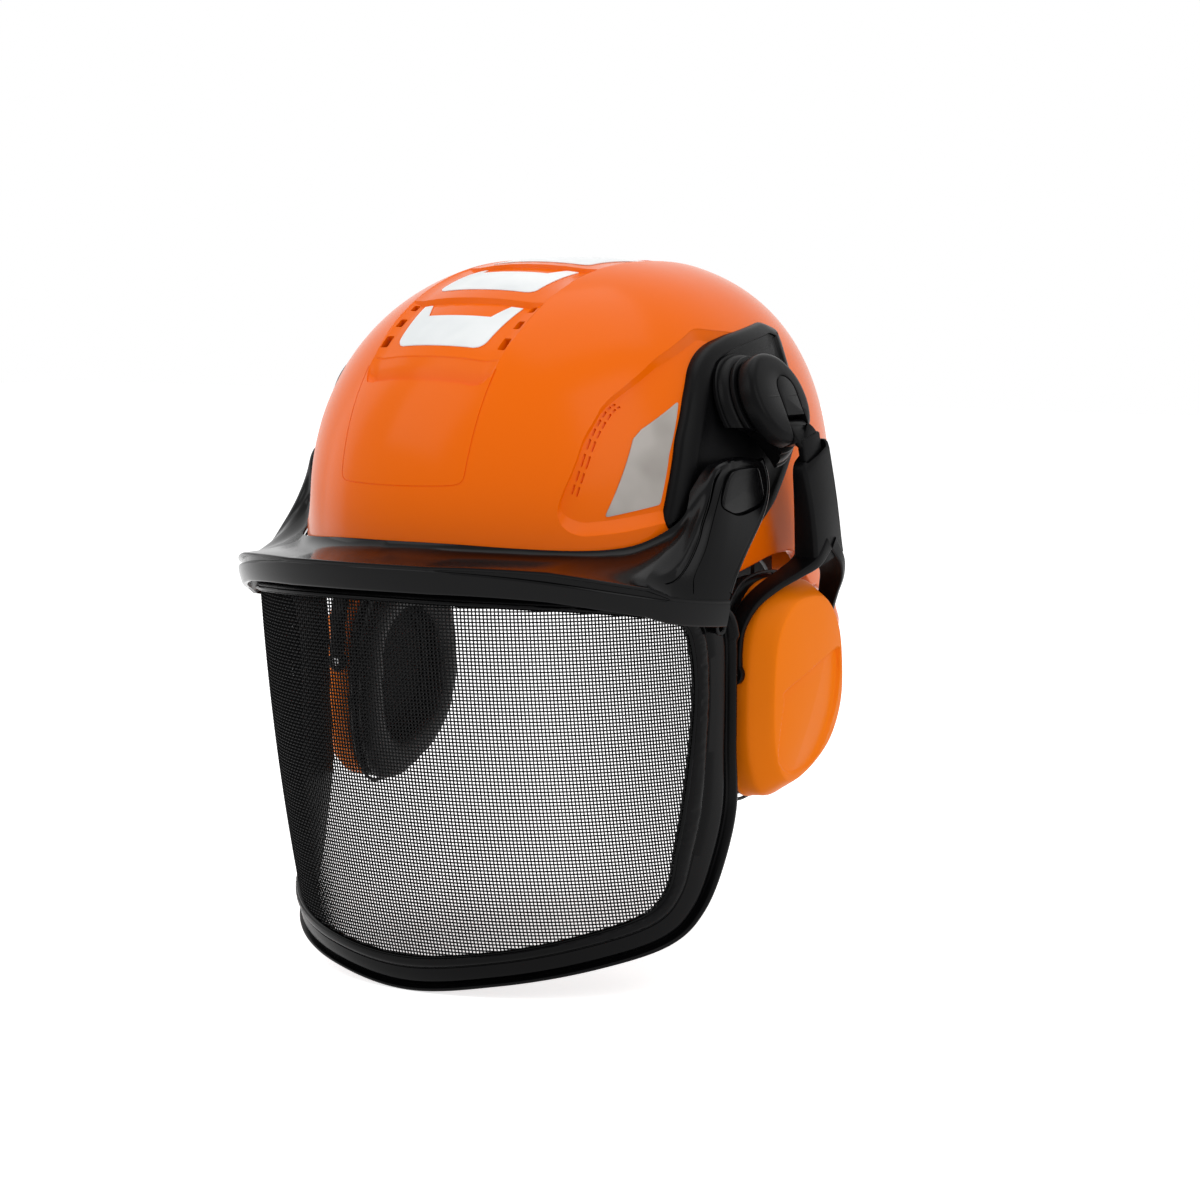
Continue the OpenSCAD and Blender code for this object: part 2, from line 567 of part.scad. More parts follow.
// The flange steps inwards at its top edge to pass behind the skirt
function frame_step(z, s) = 4.2 * s * ease((z + 19) / 8);
module mesh_frame() {
    color([0.05, 0.05, 0.055])
    difference() {
        // raised band over the mesh's edge, flat flange, groove and outer lip
        ring_loft([for (s = [[0, 1.4], [0.05, 2.1], [0.32, 2.1], [0.37, 1.4], [0.74, 1.4], [0.77, 0.5], [0.86, 0.5],
                [0.9, 2.6], [0.98, 2.6], [1, 2], [1, -1.6], [0, -1.6]])
            [for (i = [0:len(inner_line) - 1]) let (p = mix(inner_line[i], outer_line[i], s[0]))
                visor_point(p[0], p[1], s[1] - frame_step(p[1], s[0]))]]);
        both_sides() peg_shank(2.42, 10);
    }
}
module visor_mesh() {
    color([0.03, 0.03, 0.03]) {
        cols = 2 * round(130 / mesh_cell);
        rows = round(138 / mesh_cell);
        bar = 0.9;
        grid = [for (j = [0:rows]) [for (i = [0:cols]) mesh_place(i / cols, j / rows)]];
        mesh_lattice(grid, cols, rows, bar);
    }
}
// Place in the sheet of a mesh crossing, u across and v down
function mesh_place(u, v) =
    let (m = abs(2 * u - 1), z = mix(-15.8 - 9 * m * m, -159 + 21.5 * pow(m, 1.6), v),
         w = 134.5 - 22.5 * pow(max(0, -30 - z) / 107, 1.6))
    [(2 * u - 1) * w, z];
module mesh_lattice(grid, cols, rows, bar) {
    t = 0.45;
    // vertices of a cell: four corners outside, four hole corners outside, then the same inside
    function cell(i, j) =
        let (a = grid[j][i], b = grid[j][i + 1], c = grid[j + 1][i + 1], d = grid[j + 1][i],
             m = (a + b + c + d) / 4,
             q = [for (p = [a, b, c, d]) [p[0] + sign(m[0] - p[0]) * bar / 2 * 1, p[1] + sign(m[1] - p[1]) * bar / 2]])
        [for (off = [t, -t]) for (p = q) visor_point(p[0], p[1], off)];
    n = (cols + 1) * (rows + 1);
    id = function (i, j, s) s * n + j * (cols + 1) + i;
    corner = [for (off = [t, -t]) for (j = [0:rows]) for (i = [0:cols])
        visor_point(grid[j][i][0], grid[j][i][1], off)];
    cells = [for (j = [0:rows - 1]) for (i = [0:cols - 1]) cell(i, j)];
    hole = function (k, c, s) 2 * n + k * 8 + s * 4 + c;
    corner_id = function (i, j, c, s) id(i + (c == 1 || c == 2 ? 1 : 0), j + (c > 1 ? 1 : 0), s);
    faces = concat(
        flat([for (j = [0:rows - 1], i = [0:cols - 1], c = [0:3])
            let (k = j * cols + i, d = (c + 1) % 4)
            [[corner_id(i, j, c, 0), corner_id(i, j, d, 0), hole(k, d, 0), hole(k, c, 0)],
             [corner_id(i, j, d, 1), corner_id(i, j, c, 1), hole(k, c, 1), hole(k, d, 1)],
             [hole(k, c, 0), hole(k, d, 0), hole(k, d, 1), hole(k, c, 1)]]]),
        [for (i = [0:cols - 1]) [id(i, 0, 1), id(i + 1, 0, 1), id(i + 1, 0, 0), id(i, 0, 0)]],
        [for (i = [0:cols - 1]) [id(i, rows, 0), id(i + 1, rows, 0), id(i + 1, rows, 1), id(i, rows, 1)]],
        [for (j = [0:rows - 1]) [id(0, j, 0), id(0, j + 1, 0), id(0, j + 1, 1), id(0, j, 1)]],
        [for (j = [0:rows - 1]) [id(cols, j, 1), id(cols, j + 1, 1), id(cols, j + 1, 0), id(cols, j, 0)]]);
    tris = flat([for (f = faces) [[f[0], f[1], f[2]], [f[0], f[2], f[3]]]]);
    polyhedron(points = concat(corner, flat(cells)), faces = tris, convexity = 10);
}
module peg_shank(r, h) {
    translate([97, -47, -30]) rotate([0, 90, -8]) cylinder(r = r, h = h);
}
module mesh_pegs() {
    color([0.06, 0.06, 0.065]) both_sides() peg_shank(2.4, 8);
}

// ---- cradle inside the shell ----
band_w = 75;
band_l = 92;
band_y = 2;
band_t = 2;
band_z = -12;
band_h = 26;
function oval(w, l, n) = [for (i = [0:n - 1]) let (a = i * 360 / n) [w * cos(a), band_y + l * sin(a)]];
module band_wall(out, in, z, h, from = 0, to = 360) {
    n = 72;
    translate([0, 0, z]) linear_extrude(h)
        difference() {
            polygon(oval(band_w + out, band_l + out, n));
            polygon(oval(band_w + in, band_l + in, n));
        }
}
// Wide strap that drops from the sides of the band to the nape, where it carries the ratchet
module nape_strap() {
    color([0.12, 0.12, 0.12])
    loft([for (i = [0:28]) let (a = -6 + i * 192 / 28, k = ease((sin(a) - 0.15) / 0.7), z = mix(-9, -31, k),
            h = mix(14, 22, k))
        [for (q = [[0.4, z + h], [0.4, z], [2, z], [2, z + h]])
            [(band_w + q[0]) * cos(a), band_y + (band_l + q[0]) * sin(a), q[1]]]]);
}
module headband() {
    color([0.12, 0.12, 0.12]) band_wall(0, -band_t, band_z, band_h);
}
module brow_pad() {
    color([0.2, 0.2, 0.2])
    intersection() {
        band_wall(-band_t - 0.3, -band_t - 3.5, band_z + 2, band_h - 4);
        translate([-60, -120, band_z]) cube([120, 60, band_h]);
    }
}
strap_top = 70;
function strap_arc(half, z0, n) = [for (i = [0:n]) let (a = 180 - i * 180 / n)
    [half * pow(abs(cos(a)), 0.8) * sign(cos(a)), z0 + (strap_top - z0) * pow(sin(a), 0.8)]];
module crown_strap_cross() {
    color([0.15, 0.15, 0.15])
    loft([for (i = [0:16]) let (c = strap_arc(band_w + 3, 8, 16)[i], d = strap_arc(band_w + 4.6, 8, 16)[i],
            top = 1.6 * sin(180 * i / 16))
        [[d[0], band_y - 9, d[1] + top], [d[0], band_y + 9, d[1] + top],
            [c[0], band_y + 9, c[1]], [c[0], band_y - 9, c[1]]]]);
}
module crown_strap_long() {
    color([0.15, 0.15, 0.15])
    loft([for (i = [0:16]) let (c = strap_arc(band_l + 3, 8, 16)[i], d = strap_arc(band_l + 4.6, 8, 16)[i],
            top = 1.6 * sin(180 * i / 16))
        [[9, band_y + d[0], d[1] + 3 + top], [-9, band_y + d[0], d[1] + 3 + top],
            [-9, band_y + c[0], c[1] + 3], [9, band_y + c[0], c[1] + 3]]]);
}
module crown_pad() {
    color([0.2, 0.2, 0.2]) translate([0, band_y, strap_top - 6]) {
        cylinder(r1 = 24, r2 = 26, h = 4);
        translate([0, 0, 4]) cylinder(r1 = 26, r2 = 12, h = 1.1);
    }
}
module cradle_clips() {
    color([0.1, 0.1, 0.1]) {
        for (s = [-1, 1]) {
            translate([s * (band_w + 7.5) - 2.6, band_y - 11, -2]) cube([5.2, 22, 12]);
            translate([-11, band_y + s * (band_l + 8) - 2.6, -2]) cube([22, 5.2, 12]);
        }
    }
}

// ---- size ratchet at the nape ----
ratchet_y = band_y + band_l + 2.2;
ratchet_z = -20;
module ratchet_housing() {
    color([0.1, 0.1, 0.1])
    translate([0, ratchet_y, ratchet_z]) difference() {
        translate([-32, 0, -12]) cube([64, 9, 24]);
        translate([-40, 2, -5.05]) cube([80, 5.1, 10.1]);
        translate([0, -1, 0]) rotate([-90, 0, 0]) cylinder(r = 2.55, h = 20);
        translate([0, 2, 0]) rotate([-90, 0, 0]) cylinder(r = 8.05, h = 10);
    }
}
module ratchet_cover() {
    color([0.1, 0.1, 0.1])
    translate([0, ratchet_y + 9, ratchet_z]) rotate([-90, 0, 0]) difference() {
        cylinder(r = 16, h = 1.6);
        translate([0, 0, -1]) cylinder(r = 8.05, h = 4);
    }
}
module ratchet_knob() {
    color([0.12, 0.12, 0.12])
    translate([0, ratchet_y, ratchet_z]) rotate([-90, 0, 0]) difference() {
        union() {
            translate([0, 0, 0.2]) cylinder(r = 2.5, h = 10);
            translate([0, 0, 2.1]) cylinder(r = 3.4, h = 4.6);
            translate([0, 0, 7]) cylinder(r = 8, h = 3.8);
            translate([0, 0, 10.8]) cylinder(r = 15, h = 5.6);
            translate([0, 0, 16.4]) cylinder(r1 = 15, r2 = 13.4, h = 1.4);
        }
        for (i = [0:11]) rotate([0, 0, i * 30]) translate([16.2, 0, 12.4]) cylinder(r = 2.4, h = 8, $fn = 24);
    }
}
module rack(s) {
    color([0.14, 0.14, 0.14])
    translate([s * 14 - 26, ratchet_y + 2.1, ratchet_z + (s > 0 ? -4.9 : 3.6)]) cube([52, 4.8, 1.3]);
}

module left() { children(); }
module right() { mirror([1, 0, 0]) children(); }
module drop(d) { translate([0, d * sin(lean), -d * cos(lean)]) children(); }

shell();
left() side_adapter();  // side_adapter_left
right() side_adapter();  // side_adapter_right
left() side_decal();  // side_decal_left
right() side_decal();  // side_decal_right
crest_decals();
left() hub_base();  // hub_base_left
right() hub_base();  // hub_base_right
left() hub_ring();  // hub_ring_left
right() hub_ring();  // hub_ring_right
left() visor_pin();  // visor_pin_left
right() visor_pin();  // visor_pin_right
headband();
nape_strap();
brow_pad();
crown_strap_long();
crown_strap_cross();
crown_pad();
cradle_clips();
ratchet_housing();
ratchet_cover();
ratchet_knob();
rack(1);  // rack_left
rack(-1);  // rack_right
visor_carrier();
left() pivot_cover();  // pivot_cover_left
right() pivot_cover();  // pivot_cover_right
mesh_frame();
visor_mesh();
mesh_pegs();
left() hub_cap();  // hub_cap_left
right() hub_cap();  // hub_cap_right
left() arm();  // arm_left
right() arm();  // arm_right
left() arm_pin();  // arm_pin_left
right() arm_pin();  // arm_pin_right
drop(left_drop) left() yoke();  // yoke_left
drop(right_drop) right() yoke();  // yoke_right
drop(left_drop) left() cup_shell();  // cup_shell_left
drop(right_drop) right() cup_shell();  // cup_shell_right
drop(left_drop) left() cup_plate();  // cup_plate_left
drop(right_drop) right() cup_plate();  // cup_plate_right
drop(left_drop) left() cup_foam();  // cup_foam_left
drop(right_drop) right() cup_foam();  // cup_foam_right
drop(left_drop) left() cushion();  // cushion_left
drop(right_drop) right() cushion();  // cushion_right
drop(left_drop) left() cup_pins();  // cup_pins_left
drop(right_drop) right() cup_pins();  // cup_pins_right
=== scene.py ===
"""Forestry helmet: its visual model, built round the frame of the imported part. Lengths are in mm."""
import math

import bmesh
import bpy
import numpy as np
from mathutils import Matrix, Vector


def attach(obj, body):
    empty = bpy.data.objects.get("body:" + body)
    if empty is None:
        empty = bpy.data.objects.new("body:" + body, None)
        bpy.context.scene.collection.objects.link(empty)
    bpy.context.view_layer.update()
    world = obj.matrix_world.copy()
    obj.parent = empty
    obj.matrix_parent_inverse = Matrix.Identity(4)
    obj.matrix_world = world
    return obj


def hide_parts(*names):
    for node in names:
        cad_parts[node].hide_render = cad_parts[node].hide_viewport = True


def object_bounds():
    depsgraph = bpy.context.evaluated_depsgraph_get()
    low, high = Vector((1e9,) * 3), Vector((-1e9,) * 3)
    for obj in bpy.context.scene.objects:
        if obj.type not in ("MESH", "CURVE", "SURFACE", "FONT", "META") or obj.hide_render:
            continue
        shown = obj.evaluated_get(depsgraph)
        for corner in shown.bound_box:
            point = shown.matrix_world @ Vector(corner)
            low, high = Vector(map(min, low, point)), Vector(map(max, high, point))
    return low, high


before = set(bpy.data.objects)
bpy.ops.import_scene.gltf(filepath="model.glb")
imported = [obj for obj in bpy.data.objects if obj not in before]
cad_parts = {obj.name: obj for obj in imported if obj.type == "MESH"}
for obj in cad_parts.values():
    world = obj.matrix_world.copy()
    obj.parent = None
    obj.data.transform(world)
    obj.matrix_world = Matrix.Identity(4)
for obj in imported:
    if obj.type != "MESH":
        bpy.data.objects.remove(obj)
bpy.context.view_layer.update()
scene = bpy.context.scene
MM = 0.001
SIDES = ("left", "right")


# ---------------------------------------------------------------- materials
MIX_A, MIX_B, MIX_OUT = 6, 7, 2  # the colour sockets of a mix node


def srgb(r, g, b):
    """A screen colour as the linear values that shaders take."""
    lin = [c / 12.92 if c < 0.04045 else ((c + 0.055) / 1.055) ** 2.4 for c in (r / 255, g / 255, b / 255)]
    return (*lin, 1)


def shader(m):
    return m.node_tree.nodes["Principled BSDF"]


def material(name, colour, rough, specular=0.5, metallic=0.0, sheen=0.0):
    m = bpy.data.materials.new(name)
    m.use_nodes = True
    for socket, value in (("Base Color", colour), ("Roughness", rough), ("Specular IOR Level", specular),
                          ("Metallic", metallic), ("Sheen Weight", sheen)):
        shader(m).inputs[socket].default_value = value
    m.diffuse_color = colour
    return m


def node(m, kind, **values):
    n = m.node_tree.nodes.new(kind)
    for k, v in values.items():
        if k in n.inputs:
            n.inputs[k].default_value = v
        else:
            setattr(n, k, v)
    return n


def link(m, a, b):
    m.node_tree.links.new(a, b)


def texture(m, kind, output, **values):
    """Output of a texture that is fixed to the piece."""
    t = node(m, "ShaderNodeTex" + kind, **values)
    link(m, node(m, "ShaderNodeTexCoord").outputs["Object"], t.inputs["Vector"])
    return t.outputs[output]


def add_bump(m, height, strength, distance):
    bump = node(m, "ShaderNodeBump", Strength=strength, Distance=distance)
    link(m, height, bump.inputs["Height"])
    link(m, bump.outputs["Normal"], shader(m).inputs["Normal"])


def map_range(m, value, *limits):
    """A value carried from one range to another: from low, from high, to low, to high."""
    r = node(m, "ShaderNodeMapRange")
    for i, v in enumerate(limits, 1):
        r.inputs[i].default_value = v
    link(m, value, r.inputs[0])
    return r.outputs[0]


def between_colours(m, share, a, b):
    mix = node(m, "ShaderNodeMix", data_type="RGBA")
    mix.inputs[MIX_A].default_value, mix.inputs[MIX_B].default_value = a, b
    link(m, share, mix.inputs[0])
    link(m, mix.outputs[MIX_OUT], shader(m).inputs["Base Color"])


def moulded(m, scale, strength, distance, vary, rough_vary):
    """Fine grain, slow colour change and uneven gloss of a moulded plastic."""
    slow = texture(m, "Noise", "Fac", Scale=14.0, Detail=2.0)
    add_bump(m, texture(m, "Noise", "Fac", Scale=scale, Detail=3.0, Roughness=0.55), strength, distance)
    rough = shader(m).inputs["Roughness"]
    r = rough.default_value
    link(m, map_range(m, slow, 0.3, 0.7, max(0.03, r - rough_vary), r + rough_vary), rough)
    c = shader(m).inputs["Base Color"].default_value[:3]
    between_colours(m, slow, [x * (1 - vary) for x in c] + [1], [min(1, x * (1 + vary)) for x in c] + [1])
    return m


def film(m, dark, light, scale):
    """Retroreflective film: tiny cells and slow grey smudges."""
    add_bump(m, texture(m, "Voronoi", "Distance", Scale=900.0), 0.15, 0.0001)
    smudge = texture(m, "Noise", "Fac", Scale=scale, Detail=3.0)
    between_colours(m, map_range(m, smudge, 0.36, 0.6), dark, light)
    return m


ORANGE = moulded(material("shell orange", srgb(248, 109, 0), 0.2, 0.11), 900, 0.03, 0.0002, 0.03, 0.03)
CUP_ORANGE = moulded(material("cup orange", srgb(253, 128, 6), 0.42, 0.1), 1800, 0.12, 0.0002, 0.03, 0.05)
BLACK = moulded(material("satin black", srgb(9, 9, 10), 0.32, 0.07), 2200, 0.25, 0.0002, 0.15, 0.08)
GLOSS = moulded(material("gloss black", srgb(5, 5, 6), 0.15, 0.12), 1500, 0.06, 0.0002, 0.15, 0.05)
STEEL = moulded(material("pin steel", srgb(180, 180, 182), 0.3, 0.5, metallic=1.0), 1200, 0.1, 0.0001, 0.05, 0.08)
FRAME_BLACK = moulded(material("frame black", srgb(7, 7, 8), 0.25, 0.08), 1500, 0.12, 0.0002, 0.15, 0.08)
WIRE = moulded(material("mesh wire", srgb(13, 13, 14), 0.6, 0.12), 1500, 0.1, 0.0001, 0.1, 0.05)
CRADLE = moulded(material("cradle black", srgb(14, 14, 15), 0.5, 0.15), 1600, 0.2, 0.0002, 0.1, 0.06)
REFLECT = film(material("reflective film", srgb(222, 226, 227), 0.4, 0.3), srgb(236, 240, 241), srgb(252, 254, 254), 30.0)
SIDE_FILM = film(material("side film", srgb(176, 170, 164), 0.32, 0.3), srgb(128, 120, 113), srgb(182, 176, 170), 22.0)

# foam: open pores
FOAM = material("foam", srgb(34, 34, 36), 0.95, 0.2, sheen=0.1)
add_bump(FOAM, texture(FOAM, "Voronoi", "Distance", Scale=1100.0), 0.6, 0.0004)

# cushion skin: pebbled grain with soft creases
LEATHER = material("cushion skin", srgb(20, 20, 21), 0.5, 0.3)
grain = node(LEATHER, "ShaderNodeMath", operation="MULTIPLY_ADD")
grain.inputs[1].default_value = 0.35
link(LEATHER, texture(LEATHER, "Voronoi", "Distance", Scale=700.0), grain.inputs[0])
link(LEATHER, texture(LEATHER, "Noise", "Fac", Scale=90.0, Detail=3.0), grain.inputs[2])
add_bump(LEATHER, grain.outputs[0], 0.35, 0.0005)

# webbing: crossed ribs
WEBBING = material("webbing", srgb(24, 24, 26), 0.85, 0.2, sheen=0.15)
cross = node(WEBBING, "ShaderNodeMath", operation="MULTIPLY")
for i, way in enumerate("XY"):
    link(WEBBING, texture(WEBBING, "Wave", "Fac", Scale=260.0, bands_direction=way), cross.inputs[i])
add_bump(WEBBING, cross.outputs[0], 0.6, 0.0005)


# ---------------------------------------------------------------- numbers
def spread(*values):
    """Arrays of one common shape."""
    return np.broadcast_arrays(*[np.asarray(v, float) for v in values])


def unit(v):
    v = np.asarray(v, float)
    return v / np.linalg.norm(v, axis=-1, keepdims=True)


def ease(t):
    t = np.clip(t, 0, 1)
    return t * t * (3 - 2 * t)


def turn(n):
    """n angles, evenly round a full turn."""
    return np.arange(n) * 2 * math.pi / n


def read(items, what, width, kind=float):
    """A value of each of a mesh's parts."""
    a = np.zeros(len(items) * width, kind)
    items.foreach_get(what, a)
    return a.reshape(-1, width) if width > 1 else a


# ---------------------------------------------------------------- mesh tools
def placed(name, data):
    o = bpy.data.objects.new(name, data)
    scene.collection.objects.link(o)
    return o


def quads(m, n, closed_m=False, closed_n=False, flip=False):
    """Faces of a grid of m by n points."""
    out = []
    for i in range(m if closed_m else m - 1):
        for j in range(n if closed_n else n - 1):
            a, b = i * n + j, i * n + (j + 1) % n
            c, d = ((i + 1) % m) * n + (j + 1) % n, ((i + 1) % m) * n + j
            out.append((a, d, c, b) if flip else (a, b, c, d))
    return out


def build(name, verts, faces):
    me = bpy.data.meshes.new(name)
    me.from_pydata((np.asarray(verts, float) * MM).tolist(), [], faces)
    me.validate()
    bm = bmesh.new()
    bm.from_mesh(me)
    bmesh.ops.remove_doubles(bm, verts=bm.verts, dist=1e-6)
    bmesh.ops.recalc_face_normals(bm, faces=bm.faces)
    bm.to_mesh(me)
    bm.free()
    return placed(name, me)


def bake(o):
    """Applies the object's modifiers to its mesh."""
    dg = bpy.context.evaluated_depsgraph_get()
    me = bpy.data.meshes.new_from_object(o.evaluated_get(dg))
    o.modifiers.clear()
    old, o.data = o.data, me
    bpy.data.meshes.remove(old)
    return o


def bevel(o, width, segments, angle):
    b = o.modifiers.new("bevel", "BEVEL")
    b.width, b.segments, b.limit_method, b.angle_limit = width * MM, segments, "ANGLE", math.radians(angle)
    b.use_clamp_overlap = True
    return bake(o)


def volume(o):
    bm = bmesh.new()
    bm.from_mesh(o.data)
    v = bm.calc_volume(signed=True)
    bm.free()
    return v


TRIES, SAME_TRIES, SLACK = 24, 12, 1e-13  # SLACK is in cubic metres
HAIR = Matrix.Translation((3.1e-6, 1.7e-6, -2.3e-6))


def cut(o, *cutters):
    """Cuts each cutter out. The solver now and then takes a piece inside out, and not the same way in every run. So a
    piece may never grow, nor lose more than it or the cutter holds: such a cut is made again, in the end with the
    cutter moved by a hair."""
    for c in cutters:
        whole, room = volume(o), abs(volume(c))
        for attempt in range(TRIES):
            before = o.data.copy()
            b = o.modifiers.new("cut", "BOOLEAN")
            b.object, b.operation, b.solver = c, "DIFFERENCE", "EXACT"
            bake(o)
            if -SLACK <= whole - volume(o) <= min(whole, room * 1.001) + SLACK:
                bpy.data.meshes.remove(before)
                break
            print("cut made again:", o.name, attempt, whole, volume(o), room)
            o.data = before
            if attempt >= SAME_TRIES:
                c.data.transform(HAIR)
        bpy.data.objects.remove(c)
    return o


def join(name, *objs):
    bm = bmesh.new()
    for o in objs:
        bm.from_mesh(o.data)
        bpy.data.objects.remove(o)
    me = bpy.data.meshes.new(name)
    bm.to_mesh(me)
    bm.free()
    return placed(name, me)


def mirrored(o, name):
    """A copy of an unridden piece across the X = 0 plane."""
    me = o.data.copy()
    me.transform(Matrix.Scale(-1, 4, (1, 0, 0)))
    me.flip_normals()
    return placed(name, me)


def both_hands(*parts):
    """Cutters of the left side as one object, and its mirror image."""
    a = join("cutter", *parts)
    return [a, mirrored(a, "cutter")]


def finish_piece(o, mat, body, replaced, angle=38):
    """Gives a piece its material and edges, and lets it ride a body in place of a solid."""
    o.data.materials.clear()
    o.data.materials.append(mat)
    for p in o.data.polygons:
        p.use_smooth = True
        p.material_index = 0
    o.data.set_sharp_from_angle(angle=math.radians(angle))
    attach(o, body)
    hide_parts(replaced)
    return o


def pair(name, make, mat, body, angle=38, ready=None, replaced=None):
    """Makes the left piece, mirrors it, and lets each ride on its own side's body."""
    left = make()
    right = mirrored(left, name + "_right")
    left.name = name + "_left"
    for o, s in zip((left, right), SIDES):
        if ready:
            ready(o, s)
        finish_piece(o, mat, body.format(s), (replaced or name) + "_" + s, angle)
    return left, right


def loft(name, rings):
    """Closed rings one after another, with flat ends."""
    R = np.array(rings, float)
    m, n = R.shape[:2]
    return build(name, R.reshape(-1, 3), quads(m, n, closed_n=True) + [range(n)[::-1], range((m - 1) * n, m * n)])


def torus(name, loops):
    R = np.array(loops, float)
    m, n = R.shape[:2]
    return build(name, R.reshape(-1, 3), quads(m, n, True, True))


def plate(name, front, back):
    """Two facing open grids joined round their edge."""
    A, B = np.array(front, float), np.array(back, float)
    m, n = A.shape[:2]
    k = m * n
    edge = [(i * n + j, (i + 1) * n + j) for i in range(m - 1) for j in (0, n - 1)]
    edge += [(i * n + j, i * n + j + 1) for j in range(n - 1) for i in (0, m - 1)]
    f = quads(m, n) + [tuple(i + k for i in q) for q in quads(m, n, flip=True)] + [(a, b, b + k, a + k) for a, b in edge]
    return build(name, np.concatenate([A.reshape(-1, 3), B.reshape(-1, 3)]), f)


# ---------------------------------------------------------------- outlines and curves
def rounded(pts, steps=3, share=0.25, closed=True):
    """Cuts the corners of an outline, again and again, until they are round."""
    p = np.array(pts, float)
    for _ in range(steps):
        q = np.roll(p, -1, 0)
        new = np.stack([p * (1 - share) + q * share, p * share + q * (1 - share)], 1).reshape(-1, p.shape[1])
        p = new if closed else np.concatenate([p[:1], new[1:-3], p[-1:]])
    return p


def divided(pts, step=None, parts=8):
    """A closed outline with its edges divided: by the step in the first two values, or each into so many parts."""
    p, out = np.array(pts, float), []
    for a, b in zip(p, np.roll(p, -1, 0)):
        n = max(1, int(np.linalg.norm((b - a)[:2]) / step)) if step else parts
        out += [a + (b - a) * t / n for t in range(n)]
    return out


def spaced(pts, n, closed=True):
    """The same outline as n points at equal steps."""
    p = np.array(pts, float)
    if closed:
        p = np.concatenate([p, p[:1]])
    d = np.concatenate([[0], np.cumsum(np.linalg.norm(np.diff(p, axis=0), axis=1))])
    t = np.linspace(0, d[-1], n + 1)[:-1] if closed else np.linspace(0, d[-1], n)
    return np.stack([np.interp(t, d, p[:, i]) for i in range(p.shape[1])], 1)


def inset(pts, by):
    """A closed flat outline moved inwards."""
    p = np.array(pts, float)
    t = unit(np.roll(p, -1, 0) - np.roll(p, 1, 0))
    area = np.sum(p[:, 0] * np.roll(p[:, 1], -1) - np.roll(p[:, 0], -1) * p[:, 1])
    return p + np.stack([-t[:, 1], t[:, 0]], 1) * np.sign(area) * np.reshape(by, (-1, 1))


def curve(e, t):
    """Points at the places t on a smooth curve through e, which has one point more at each end."""
    i = np.clip(t.astype(int), 0, len(e) - 4)
    u = (t - i)[:, None]
    a, b, c, d = e[i], e[i + 1], e[i + 2], e[i + 3]
    return 0.5 * (2 * b + (c - a) * u + (2 * a - 5 * b + 4 * c - d) * u**2 + (3 * b - a - 3 * c + d) * u**3)


def spline(pts, n):
    """Points on a smooth curve through the given ones: n of them, or those at the places n."""
    p = np.array(pts, float)
    t = np.linspace(0, len(p) - 1, n) if np.ndim(n) == 0 else np.asarray(n, float)
    return curve(np.concatenate([[2 * p[0] - p[1]], p, [2 * p[-1] - p[-2]]]), t)


def closed_spline(pts, steps):
    """A smooth closed curve, with so many steps from point to point."""
    p = np.array(pts, float)
    return curve(np.concatenate([p[-1:], p, p[:2]]), np.arange(len(p) * steps) / steps)


def sweep(name, path, section, up=(1, 0, 0), closed=False):
    """A section [(across, out)] carried along a path; out lies nearest to up."""
    P = np.array(path, float)
    n = len(P)
    T = unit(np.roll(P, -1, 0) - np.roll(P, 1, 0) if closed else np.gradient(P, axis=0))
    U = np.broadcast_to(np.array(up, float), (n, 3))
    U = unit(U - np.sum(U * T, 1)[:, None] * T)
    S = np.cross(T, U)
    sec = np.array(section, float)
    sec = sec if sec.ndim == 3 else np.tile(sec, (n, 1, 1))
    R = P[:, None] + sec[:, :, :1] * S[:, None] + sec[:, :, 1:] * U[:, None]
    return torus(name, R) if closed else loft(name, R)


def box_section(w, h, r, n=3):
    """A rectangle with round corners."""
    out = []
    for i, (sx, sy) in enumerate(((1, 1), (-1, 1), (-1, -1), (1, -1))):
        for k in range(n + 1):
            a = math.radians(90 * i + 90 * k / n)
            out.append((sx * (w / 2 - r) + r * math.cos(a), sy * (h / 2 - r) + r * math.sin(a)))
    return out


def circle_section(r, n=8):
    return [(r * math.cos(a), r * math.sin(a)) for a in turn(n)]


def rod(p, q, r, n):
    """A round cutter from p to q."""
    return sweep("cutter", [p, q], circle_section(r, n), (0, 0, 1))


def slot_cutter(p, along, out, length, width, depth, corner):
    """A short slot about p: along is its long way, out its depth's way."""
    out = unit(out)
    along = np.array(along, float)
    along = unit(along - out * (along @ out))
    across = np.cross(out, along)
    sec = box_section(length, width, corner, 2)
    return loft("cutter", [[np.array(p) + along * u + across * v + out * t for u, v in sec] for t in (-depth / 2, depth / 2)])


# ---------------------------------------------------------------- shell of the helmet
HALF_W, FRONT, REAR, HEIGHT, WALL, RECESS = 95, 118, 122.5, 111, 3.6, 2.2
POWER, FRONT_POWER, REAR_POWER, SHIFT = 2.5, 2.05, 2.25, 12
FLARE, FLARE_TOP, FLARE_H = 13, -14, 34
AROUND = turn(224)
# the lower edge's height in front, beside the brow, above the ear and at the nape
RIM_FRONT, RIM_BROW, RIM_EAR, RIM_NAPE = -9, -14, -6, -50


def plan(y, off=0):
    """Power and half length of the plan's outline, which differ in front and at the back."""
    return np.where(y > 0, REAR_POWER, FRONT_POWER), np.where(y > 0, REAR, FRONT) + off


def shift(z, off=0):
    """How far back the plan's centre lies at a height."""
    return SHIFT * (np.clip(z, 0, None) / (HEIGHT + off)) ** 2


def flare(z, s):
    """How far the nape stands out; s is the sine of the way round."""
    return FLARE * np.clip((FLARE_TOP - z) / FLARE_H, 0, 1.05) ** 2 * np.clip(s, 0, None) ** 2


